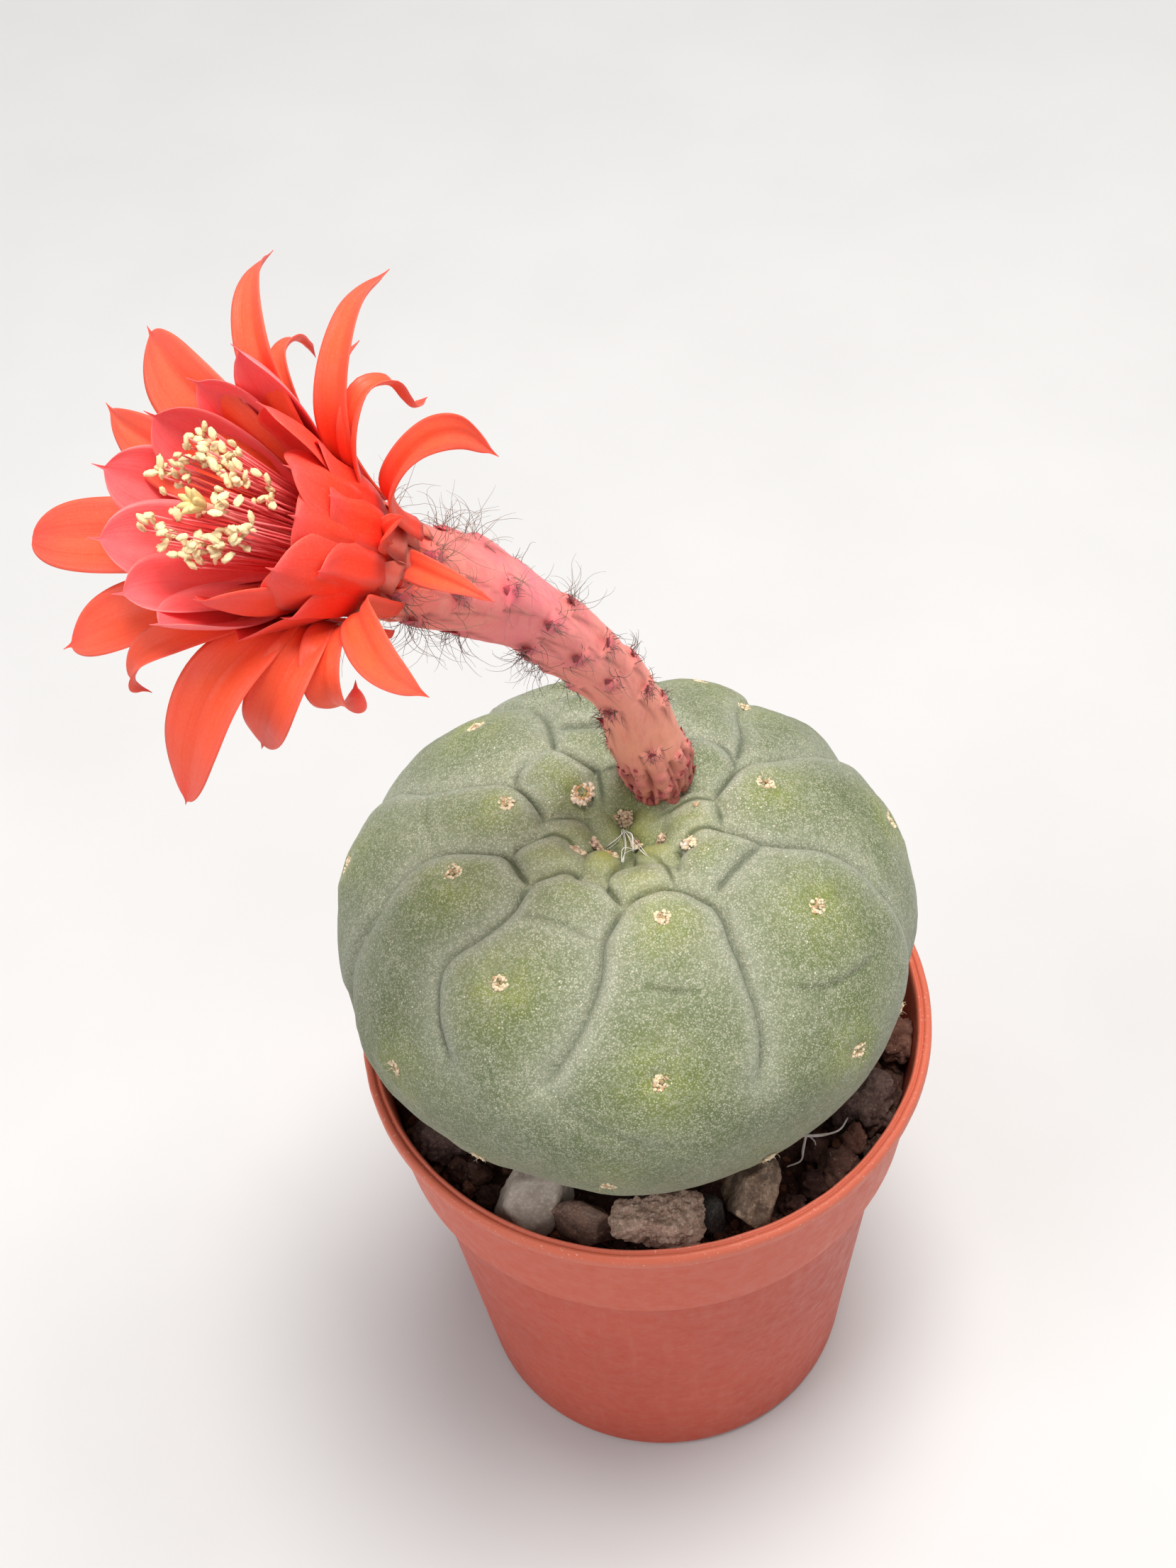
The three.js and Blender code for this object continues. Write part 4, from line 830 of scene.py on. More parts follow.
rs = R3(7)
bag = Bag()
icoV, icoF = ico(1)
for x, y, z, s in AREOLES + REAR_AREOLES:
    p, n = on_body([x, y, z])
    e1, e2, n = basis(n)
    big = s > 40
    brown = 25 < s < 40
    R = 1.35 if big else 0.80 if brown else 0.040 * s
    R = 1.62 if big else 1.0 if brown else 0.050 * s
    tone = np.array([0.88, 0.70, 0.54]) if big else np.array([0.86, 0.70, 0.46])
    ex = 0.85 + 0.35 * rs.rand()
    turn = rs.rand() * 6.28
    c_, s_ = math.cos(turn), math.sin(turn)
    e1, e2 = e1 * c_ + e2 * s_, e2 * c_ - e1 * s_
    cnt = 120 if big else 60
    for i in range(cnt):
        a = rs.rand() * 2 * math.pi
        q = R * (0.62 + 0.38 * rs.rand() ** 0.7) * (0.86 + 0.22 * math.sin(3 * a + turn) * rs.rand())
        if not big and i % 3 == 0:
            q = R * 0.55 * math.sqrt(rs.rand())
        k = (0.20 if big else 0.16) * (0.6 + 0.8 * rs.rand())
        c = p + e1 * math.cos(a) * q * ex + e2 * math.sin(a) * q + n * (0.02 + 0.22 * rs.rand() + (0.5 * rs.rand() if brown else 0))
        W = icoV * k * (0.7 + 0.6 * rs.rand(len(icoV), 1))
        W = W[:, :1] * e1 + W[:, 1:2] * e2 + W[:, 2:] * n * 0.7
        t = tone * (0.72 + 0.42 * rs.rand())
        if rs.rand() < 0.14:
            t = np.array([0.55, 0.33, 0.17])
        if not big and q < R * 0.30:
            t = np.array([0.40, 0.27, 0.12])
        bag.add(c + W, icoF, np.clip(t, 0, 1))
    if big:
        for i in range(34):
            a = i / 34 * 6.283
            q = R * (0.44 + 0.06 * rs.rand())
            c = p + e1 * math.cos(a) * q * ex + e2 * math.sin(a) * q + n * (0.12 + 0.10 * rs.rand())
            bag.add(c + icoV * (0.12 + 0.05 * rs.rand()), icoF, np.array([0.62, 0.34, 0.13]) * (0.8 + 0.4 * rs.rand()))
        for i in range(22):
            o = R * 0.26 * rs.normal(size=2)
            bag.add(p + e1 * o[0] + e2 * o[1] - n * 0.02 + icoV * 0.13, icoF, np.array([0.36, 0.33, 0.10]) * (0.8 + 0.4 * rs.rand()))
    for i in range(34 if big else 16):
        a, q = rs.rand() * 2 * math.pi, R * (0.5 + 0.5 * rs.rand())
        o = e1 * math.cos(a) * q * ex + e2 * math.sin(a) * q
        pts = hair(p + o + n * 0.05, n * 0.6 + o * (0.9 / max(R, 0.1)) + 0.4 * rs.normal(size=3), 0.4 + 0.5 * rs.rand(), 0, 0.45, rs, 4)
        v, f = tube(pts, np.linspace(0.030, 0.012, len(pts)), 3)
        bag.add(v, f, np.clip(tone * 1.05, 0, 1))
bag.make("areole_wool_pads", am.m, slot="cactus_body")

# spent tufts by the crown
bag = Bag()
rs = R3(9)
TUFTS = [
    [-0.77, 2.06, 93.96, 0.62, 1.55, (0.52, 0.36, 0.22)],
    [-4.4, -1.85, 94.91, 0.34, 0.8, (0.66, 0.44, 0.33)],
    [3.08, -1.49, 94.76, 0.34, 1.0, (0.66, 0.47, 0.33)],
    [0.42, -0.8, 93.33, 0.3, 0.45, (0.5, 0.27, 0.15)],
    [-6.03, -3.18, 96.27, 0.55, 0.25, (0.78, 0.6, 0.48)],
    [-5.44, -7.41, 97.31, 0.6, 0.2, (0.84, 0.74, 0.66)],
    [5.57, -3.95, 96.73, 0.62, 0.25, (0.8, 0.64, 0.54)],
    [-3.01, -3.01, 94.53, 0.3, 0.2, (0.66, 0.36, 0.12)],
    [7.01, 0.81, 97.01, 0.3, 0.2, (0.62, 0.45, 0.25)],
]
for x, y, z, rr_, hh, tn in TUFTS:
    p, n = on_body([x, y, z])
    n = unit(n + np.array([0, 0, 0.8]))
    e1, e2, n = basis(n)
    for i in range(int(14 + 26 * hh)):
        u_ = rs.rand()
        o = rr_ * (1 - 0.35 * u_) * 0.55 * rs.normal(size=2)
        W = icoV * (0.10 + 0.11 * rs.rand()) * (0.7 + 0.6 * rs.rand(len(icoV), 1))
        bag.add(p + e1 * o[0] + e2 * o[1] + n * hh * u_ + W, icoF, np.array(tn) * (0.65 + 0.6 * rs.rand()))
    for i in range(int(10 + 16 * hh)):
        pts = hair(p + rr_ * 0.4 * rs.normal(size=3) + n * hh * 0.6 * rs.rand(), n + 0.7 * rs.normal(size=3), 0.4 + 0.5 * hh, 0, 0.5, rs, 4)
        v, f = tube(pts, np.linspace(0.03, 0.012, len(pts)), 3)
        bag.add(v, f, np.array(tn) * (0.7 + 0.5 * rs.rand()))
WEB = [[-1.03, 0.95, 93.45], [0.19, -2.99, 94.0], [-2.98, -1.7, 94.02], [-1.51, -4.99, 95.29], [1.93, -5.29, 95.83]]
for a, b in ((0, 1), (0, 2), (0, 3), (0, 4), (1, 3)):
    pa, na = on_body(WEB[a], 0.7)
    pb, nb = on_body(WEB[b], 0.35)
    for k in range(2):
        mid = (pa + pb) / 2 + (na + nb) / 2 * 0.45 + 0.25 * rs.normal(size=3)
        pts = catmull([pa + 0.1 * rs.normal(size=3), mid, pb + 0.15 * rs.normal(size=3)], 10)
        v, f = tube(pts, (0.075 if a == 0 and b == 1 else 0.042) if k == 0 else 0.026, 4)
        bag.add(v, f, (0.86, 0.86, 0.82))
bag.make("crown_tufts_and_threads", am.m, slot="cactus_body")


# ------------------------------------------------------------------ flower tube
F0 = np.array([-21.155, -12.034, 147.943])
AX = unit([-0.5998, -0.3599, 0.7147])
EU = unit([0.1626, 0.8197, 0.5492])
ER = unit([-0.7835, 0.4456, -0.4331])
TUBE = np.array([[3.1, 5.6, 93.6], [3.04, 5.57, 98.85], [2.03, 4.92, 104.12], [0.97, 4.06, 109.45], [-0.72, 2.72, 115.39],
                 [-2.98, 1.02, 120.99], [-5.57, -0.91, 126.12], [-8.25, -2.89, 130.81], [-10.86, -4.8, 134.87], [-13.68, -6.85, 138.84],
                 [-16.44, -8.93, 142.16], [-19.1, -10.76, 145.37], [-21.16, -12.03, 147.94]])
TUBE_R = np.array([2.5, 3.6, 3.4, 3.05, 2.9, 2.9, 3.0, 3.2, 3.35, 3.6, 3.9, 4.15, 4.25])
NL = 200
TC = catmull(TUBE, NL)
TT, TS, TB = frames(TC, [1, 0, 0])
TR = np.interp(np.linspace(0, 1, NL + 1), np.linspace(0, 1, 13), TUBE_R)
# rounded foot
foot = np.linspace(0, 1, NL + 1) * 63
TR = TR * np.sqrt(np.clip(1 - np.clip(1 - foot / 2.6, 0, 1) ** 2, 0.02, 1))


def tube_at(t, dirv):
    """Point, outward and forward directions on the floral tube; dirv is a rough outward direction."""
    k = t * NL
    i = int(min(max(k, 0), NL - 1))
    f = k - i
    c = TC[i] * (1 - f) + TC[i + 1] * f
    tan = unit(TT[i] * (1 - f) + TT[i + 1] * f)
    d = np.asarray(dirv, float)
    d = unit(d - tan * np.dot(d, tan))
    r = TR[i] * (1 - f) + TR[i + 1] * f
    return c, d, tan, r


# scale positions: a few seen ones, the rest along a spiral
SEEN = [[0.193, 0.2, -0.97, -0.11], [0.261, -0.92, -0.28, -0.27], [0.331, -0.39, -0.86, -0.34], [0.276, 0.97, -0.1, 0.22], [0.429, 0.38, -0.92, -0.13], [0.489, 0.89, -0.34, 0.31],
        [0.586, -0.56, -0.6, -0.57], [0.649, 0.7, -0.7, 0.11], [0.64, -0.01, -0.91, -0.41], [0.596, 0.84, 0.12, 0.53], [0.777, -0.4, -0.66, -0.64], [0.855, 0.28, 0.68, 0.68],
        [0.43, -0.8, -0.5, -0.3], [0.52, -0.75, -0.45, -0.5]]
SCALES = [(t, unit([a, b, c]), "seen") for t, a, b, c in SEEN]
rs = R3(21)
# crowded imbricate scales round the foot
for ring, t in enumerate((0.016, 0.044, 0.074, 0.104, 0.134)):
    nn = (10, 12, 12, 11, 9)[ring]
    for j in range(nn):
        a = (j + 0.5 * (ring % 2)) / nn * 2 * math.pi + 0.12 * rs.normal()
        i = int(t * NL)
        SCALES.append((t + 0.006 * rs.normal(), TS[i] * math.cos(a) + TB[i] * math.sin(a), "foot"))
k = 0
for i in range(64):
    t = 0.17 + 0.80 * (i / 63)
    a = i * 2.39996 + 0.7
    j = int(t * NL)
    d = TS[j] * math.cos(a) + TB[j] * math.sin(a)
    c = TC[j] + d * TR[j]
    if all(np.linalg.norm(c - (TC[int(q[0] * NL)] + q[1] * TR[int(q[0] * NL)])) > 3.9 for q in SCALES):
        SCALES.append((t, d, "spiral"))

seg = 84
ang = np.arange(seg) / seg * 2 * np.pi
dirs = TS[:, None] * np.cos(ang)[None, :, None] + TB[:, None] * np.sin(ang)[None, :, None]
V = TC[:, None] + dirs * TR[:, None, None]
V = V.reshape(-1, 3)
D = dirs.reshape(-1, 3)
T_ = np.repeat(TT, seg, axis=0)
h = np.zeros(len(V))
maroon = np.zeros(len(V))
groove = np.zeros(len(V))
for t, d, kind in SCALES:
    c, d, tan, r = tube_at(t, d)
    p = c + d * r
    w = V - p
    al = np.einsum("ij,ij->i", w, T_)
    ac_ = np.linalg.norm(w - al[:, None] * T_, axis=1)
    ln = 2.6 if kind == "foot" else 5.5 + 5.0 * t
    wd = 0.80 if kind == "foot" else 0.90 + 0.6 * t
    # swollen base of the scale running down the tube, ending in a step at its tip
    body_ = np.where(al < 0, np.exp(-(al / ln) ** 2), np.exp(-(al / 0.35) ** 2))
    h += (0.40 if kind == "foot" else 0.60) * body_ * np.exp(-(ac_ / wd) ** 2)
    h -= (0.30 if kind == "foot" else 0.10) * np.exp(-((ac_ - wd * 1.35) / 0.28) ** 2) * np.where(al < 0.4, np.exp(-(al / ln) ** 2), 0)
    # groove mask: the creases round each scale, painted dark as shade
    if kind == "foot":
        groove = np.maximum(groove, np.exp(-((ac_ - wd * 1.30) / 0.20) ** 2) * np.where(al < 0.5, np.exp(-(al / 2.4) ** 2), 0))
    else:
        groove = np.maximum(groove, 0.75 * np.exp(-((ac_ - wd * (1.10 - 0.08 * np.clip(-al, 0, 9))) / 0.17) ** 2) * np.where(al < 0.3, np.exp(-(al / (3.0 + 2.5 * t)) ** 2), 0))
    maroon = np.maximum(maroon, np.exp(-((al + 0.1) / 0.75) ** 2) * np.exp(-(ac_ / (wd * 0.6)) ** 2) * (0.6 if kind == "foot" else 0.75))
par = np.repeat(np.linspace(0, 1, NL + 1), seg)
h += 0.10 * vnoise(V, 0.22, 2) + 0.04 * vnoise(V, 0.9, 5)
V = V + D * h[:, None]
F = grid_faces(NL + 1, seg)[:, ::1].tolist()
a = len(V)
V = np.vstack([V, TC[0] - TT[0] * 0.2, TC[-1] - TT[-1] * 6.0])
for j in range(seg):
    F.append([a, (j + 1) % seg, j])
    F.append([a + 1, NL * seg + j, NL * seg + (j + 1) % seg])
col = np.stack([maroon, par, np.clip(groove, 0, 1)], 1)
col = np.vstack([col, [0, 0, 0], [0, 1, 0]])
tm = Mat("floral_tube", 0.48)
_, t_ma, t_par, t_groove_shade, _ = tm.attr("col")
tcol = tm.ramp(t_par, [(0.0, (0.58, 0.19, 0.145)), (0.12, (0.72, 0.25, 0.19)), (0.20, (0.92, 0.36, 0.245)), (0.42, (0.92, 0.29, 0.24)), (0.70, (0.88, 0.205, 0.235)), (0.9, (0.88, 0.20, 0.17)), (1.0, (0.90, 0.11, 0.05))])
tcol = tm.mix(tm.ramp(tm.noise(0.35, 5, 0.6), [(0.40, 0.0), (0.66, 0.5)]), tcol, (0.90, 0.34, 0.25))
tcol = tm.mix(tm.ramp(tm.noise(1.0, 4, 0.6, vec=tm.stretch(tm.mm, (1.3, 1.3, 0.3))), [(0.54, 0.0), (0.74, 0.38)]), tcol, (0.66, 0.10, 0.155))
# painted shade: dark lines in the grooves round the scales
tcol = tm.mix(tm.math("MULTIPLY", t_groove_shade, 0.90), tcol, (0.26, 0.045, 0.040))
tcol = tm.mix(tm.math("MULTIPLY", t_ma, 0.85), tcol, (0.40, 0.04, 0.10))
sp = tm.ramp(tm.voronoi(1.9), [(0.08, 1.0), (0.2, 0.0)])
tcol = tm.mix(tm.math("MULTIPLY", sp, 0.28), tcol, (0.90, 0.50, 0.42))
tm.color(tcol)
tm.rough(tm.ramp(tm.noise(1.5, 4, 0.6), [(0.3, 0.40), (0.7, 0.58)]))
tm.const(Subsurface_Weight=0.12, Subsurface_Scale=0.002, Specular_IOR_Level=0.4)
b1 = tm.bump(tm.noise(2.4, 5, 0.65), 0.30, 0.15)
tm.bump(tm.voronoi(5.0), 0.15, 0.05, b1)
mk("floral_tube", V, F, tm.m, "flower_tube", "flower_tube", col=col)

# free tips of the scales and the hair in their axils
sm = Mat("scale_tips", 0.55)
sc_, _, _, _, _ = sm.attr("col")
sm.color(sm.mix(sm.ramp(sm.noise(2.2, 4, 0.6), [(0.35, 0.0), (0.7, 0.5)]), sc_, (0.42, 0.06, 0.06)))
sm.bump(sm.noise(5.0, 3, 0.6), 0.3, 0.08)
hm = Mat("tube_hair", 0.6)
hc_, _, _, _, _ = hm.attr("col")
hm.color(hm.mix(hm.ramp(hm.noise(1.5, 3, 0.6), [(0.4, 0.0), (0.7, 0.5)]), hc_, (0.22, 0.14, 0.10)))
hm.const(Sheen_Weight=0.25)
hm.bump(hm.noise(9.0, 2, 0.5), 0.2, 0.03)
rs = R3(33)
tips, hairs = Bag(), Bag()


def blade(p, fwd, out, length, width, lift, curl, n=7):
    """Small pointed scale: closed, thin, curling away from the tube."""
    side = unit(np.cross(out, fwd))
    T, B = [], []
    for i in range(n):
        u = i / (n - 1)
        w = width * (1 - u ** 1.7) * (0.75 + 0.5 * u * (1 - u)) + 0.03
        q = p + fwd * length * u + out * (lift * u + curl * u * u)
        th = 0.16 * (1 - 0.7 * u)
        T += [q - side * w, q + out * th, q + side * w]
        B += [q - side * w * 0.9 - out * 0.04, q - out * th * 0.5, q + side * w * 0.9 - out * 0.04]
    V = np.array(T + B)
    o = 3 * n
    Fc = []
    for i in range(n - 1):
        a, b = 3 * i, 3 * i + 3
        Fc += [[a, a + 1, b + 1, b], [a + 1, a + 2, b + 2, b + 1], [o + a, o + b, o + b + 1, o + a + 1], [o + a + 1, o + b + 1, o + b + 2, o + a + 2],
               [a, b, o + b, o + a], [a + 2, o + a + 2, o + b + 2, b + 2]]
    e = 3 * (n - 1)
    Fc += [[0, o, o + 1, 1], [1, o + 1, o + 2, 2], [e, e + 1, o + e + 1, o + e], [e + 1, e + 2, o + e + 2, o + e + 1]]
    return V, Fc


for t, d, kind in SCALES:
    c, d, tan, r = tube_at(t, d)
    jit = 0.85 + 0.3 * rs.rand()
    if kind == "foot":
        ln, wd, lift = 1.2 * jit, 0.46, 0.16
    else:
        ln, wd, lift = (1.4 + 1.7 * t) * jit, 0.62 + 0.30 * t, 0.26
    p = c + d * (r + (0.22 if kind == "foot" else 0.28)) - tan * ln * 0.35
    v, f = blade(p, tan, d, ln, wd, lift, 0.25 * rs.rand())
    u = np.clip(((v - p) @ tan) / ln, 0, 1)[:, None]
    if kind == "foot":
        cc = np.array([0.50, 0.13, 0.115]) * (1 - u) + np.array([0.30, 0.045, 0.05]) * u
    else:
        cc = np.array([0.46, 0.055, 0.085]) * (1 - u) + np.array([0.14, 0.016, 0.024]) * u
        if t > 0.72:
            cc = np.array([0.74, 0.11, 0.13]) * (1 - u) + np.array([0.42, 0.04, 0.075]) * u
    tips.add(v, f, cc)
    # hair
    up = max(0.0, d[2]) + 0.35
    if kind == "foot":
        nh, hl = 6, 0.75
    else:
        nh = int(12 + 16 * t)
        hl = 1.6 + 3.6 * t * (0.55 + 0.65 * (abs(d[2]) > 0.45))
        if t < 0.35:
            nh, hl = 34, 1.35
    for i in range(nh):
        q = p + tan * ln * (0.1 + 0.5 * rs.rand()) + np.cross(tan, d) * wd * rs.normal() * 0.85
        dd = unit(d * (0.85 + 0.35 * rs.rand()) + tan * 0.35 * rs.normal() + 0.45 * rs.normal(size=3))
        L = hl * (0.55 + 0.75 * rs.rand())
        pts = hair(q - d * 0.25, dd, L, 0, 0.26 if kind == "foot" else 0.33, rs, 4 if L < 2 else 8)
        vv, ff = tube(pts, np.linspace(0.042, 0.013, len(pts)) * (1.25 if L < 2.4 else 0.85), 3)
        hairs.add(vv, ff, np.array([0.075, 0.032, 0.022]) * (0.7 + 0.9 * rs.rand()) if L < 3 else np.array([0.16, 0.10, 0.07]) * (0.7 + 0.9 * rs.rand()))
tips.make("tube_scale_tips", sm.m, slot="flower_tube")
hairs.make("tube_hairs", hm.m, slot="flower_tube")

# ------------------------------------------------------------------ petals


def outline(u, base, tm_, p, q):
    up = np.clip(u / tm_, 0, 1)
    lo = base + (1 - base) * (up * up * (3 - 2 * up))
    dn = np.clip((u - tm_) / (1 - tm_), 0, 1)
    return np.where(u < tm_, lo, np.clip(1 - dn ** p, 0, 1) ** q)


def petal(name, P, width, node, mat, slot, mucro=0.045, base=0.36, tm_=0.6, p=2.0, q=0.75, cup=0.16, thick=0.42, seed=1, twist=0.0, wave=0.18, side0=None, nl=46, nw=14, tip=0.7):
    L = catmull(P, nl)
    # finer steps at the tip
    s = np.linspace(0, 1, nl + 1)
    s2 = 1 - (1 - s) ** 1.35
    L = np.stack([np.interp(s2, s, L[:, k]) for k in range(3)], 1)
    rel = L[0] - F0
    rel = rel - AX * np.dot(rel, AX)
    sd = np.cross(AX, unit(rel)) if side0 is None else side0
    T, S, B = frames(L, sd)
    # B points to the outer face
    w = width * 0.5 * outline(np.minimum(s2 / (1 - mucro), 1), base, tm_, p, q)
    spike = np.clip((1 - s2) / max(mucro * 1.7, 0.01), 0, 1)
    w = np.maximum(w, 0.34 * spike ** 1.3 + 0.03)
    v = np.linspace(-1, 1, nw + 1)
    vv = v[None, :]
    rs_ = R3(seed)
    ph1, ph2, ph3 = rs_.rand(3) * 6.28
    tw = math.radians(twist) * s2[:, None]
    S2 = S * np.cos(tw) + B * np.sin(tw)
    B2 = -S * np.sin(tw) + B * np.cos(tw)
    cupv = -cup * w[:, None] * 2 * (vv ** 2)
    # shallow channel on the inner face along the midline, soft lengthwise folds
    chan = 0.05 * width * np.exp(-(vv / 0.22) ** 2) * np.minimum(1, 4 * s2 * (1 - s2))[:, None]
    wav = wave * np.abs(vv) ** 2 * np.sin(s2[:, None] * 9 + ph1 + 1.3 * np.sign(vv)) * np.minimum(1, w / (0.3 * width))[:, None]
    fold = 0.05 * np.sin(vv * 7 + ph2 + 2 * s2[:, None]) * np.minimum(1, w / (0.4 * width))[:, None]
    off = cupv + chan + wav + fold
    mid = L[:, None] + S2[:, None] * (w[:, None, None] * vv[..., None]) + B2[:, None] * off[..., None]
    th = thick * 0.5 * (1 - 0.45 * s2)[:, None] * np.sqrt(np.clip(1 - 0.97 * vv ** 4, 0.03, 1)) * np.minimum(1, 0.25 + w[:, None] / (0.25 * width))
    top = (mid - B2[:, None] * th[..., None]).reshape(-1, 3)
    bot = (mid + B2[:, None] * th[..., None]).reshape(-1, 3)
    V = np.vstack([top, bot])
    n = (nl + 1) * (nw + 1)
    f1 = grid_faces(nl + 1, nw + 1, closed=False)
    F = f1.tolist() + (f1[:, ::-1] + n).tolist()
    c = nw + 1
    for i in range(nl):
        a, b = i * c, (i + 1) * c
        F.append([a, b, n + b, n + a])
        F.append([a + nw, n + a + nw, n + b + nw, b + nw])
    for j in range(nw):
        F.append([j, n + j, n + j + 1, j + 1])
        e = nl * c
        F.append([e + j, e + j + 1, n + e + j + 1, n + e + j])
    uv1 = np.stack(np.broadcast_arrays(s2[:, None], (vv + 1) / 2), -1).reshape(-1, 2)
    uv = np.vstack([uv1, uv1])
    face = np.r_[np.zeros(n), np.ones(n)]
    wn = np.broadcast_to(np.minimum(1, w / (0.5 * width))[:, None], (nl + 1, nw + 1)).ravel()
    rnd = rs_.rand()
    col = np.stack([face, np.r_[wn, wn], np.full(2 * n, rnd)], 1)
    # windings: outward faces
    V = np.asarray(V)
    o = mk(name, V, F, mat, node, slot, uv=uv, col=col)
    return o


def petal_mat(name, stops, edge, inner_edge, base_red, rough=0.42):
    """Colour along and across a tepal from its own coordinates."""
    m = Mat(name, rough)
    _, face, wn, rnd, _ = m.attr("col")
    uu = m.sep(m.uv)
    u, v = uu[0], uu[1]
    c = m.ramp(u, stops)
    av = m.math("ABSOLUTE", m.math("MULTIPLY_ADD", v, 2.0, -1.0))
    e = m.ramp(m.math("ADD", av, m.math("MULTIPLY_ADD", m.noise(0.5, 3, 0.5), 0.3, -0.15)), [(0.55, 0.0), (1.0, 1.0)])
    e = m.math("MULTIPLY", e, m.ramp(u, [(0.15, 0.0), (0.5, 0.85)]))
    c = m.mix(e, c, edge)
    c = m.mix(m.math("MULTIPLY", m.math("SUBTRACT", 1.0, face), inner_edge[3]), c, inner_edge[:3])
    vein = m.noise(1.0, 3, 0.55, vec=m.stretch(m.uv, (2.2, 26.0, 1.0)))
    c = m.mix(m.ramp(vein, [(0.46, 0.0), (0.70, 0.42)]), c, base_red)
    blot = m.noise(0.35, 4, 0.6)
    c = m.mix(m.ramp(blot, [(0.45, 0.0), (0.75, 0.30)]), c, edge)
    c = m.mix(m.ramp(m.noise(4.5, 3, 0.6), [(0.5, 0.0), (0.75, 0.08)]), c, (1.0, 0.45, 0.32))
    m.color(c)
    m.rough(m.ramp(m.noise(0.8, 4, 0.6), [(0.3, rough - 0.07), (0.7, rough + 0.10)]))
    m.const(Subsurface_Weight=0.18, Subsurface_Scale=0.0018, Specular_IOR_Level=0.22, Sheen_Weight=0.03)
    b = m.bump(m.noise(1.0, 3, 0.55, vec=m.stretch(m.uv, (3.0, 34.0, 1.0))), 0.22, 0.12)
    m.bump(m.noise(7.0, 3, 0.6), 0.12, 0.04, b)
    return m.m


outer_mat = petal_mat("outer_tepal", [(0.0, (0.84, 0.038, 0.012)), (0.30, (0.88, 0.062, 0.012)), (0.60, (0.88, 0.080, 0.022)), (0.85, (0.86, 0.085, 0.045)), (1.0, (0.80, 0.040, 0.045))],
                      (0.89, 0.105, 0.078), (0.92, 0.135, 0.060, 0.35), (0.80, 0.036, 0.010))
inner_mat = petal_mat("inner_tepal", [(0.0, (0.86, 0.012, 0.010)), (0.35, (0.92, 0.035, 0.026)), (0.6, (0.94, 0.085, 0.070)), (0.85, (0.94, 0.145, 0.150)), (1.0, (0.93, 0.165, 0.20))],
                      (0.96, 0.21, 0.215), (0.94, 0.085, 0.085, 0.35), (0.90, 0.045, 0.042))
near_mat = petal_mat("inner_tepal_back", [(0.0, (0.84, 0.035, 0.012)), (0.40, (0.88, 0.045, 0.014)), (0.70, (0.88, 0.055, 0.022)), (0.88, (0.86, 0.070, 0.050)), (1.0, (0.84, 0.10, 0.11))],
                     (0.90, 0.085, 0.060), (0.84, 0.035, 0.035, 0.55), (0.84, 0.030, 0.010))

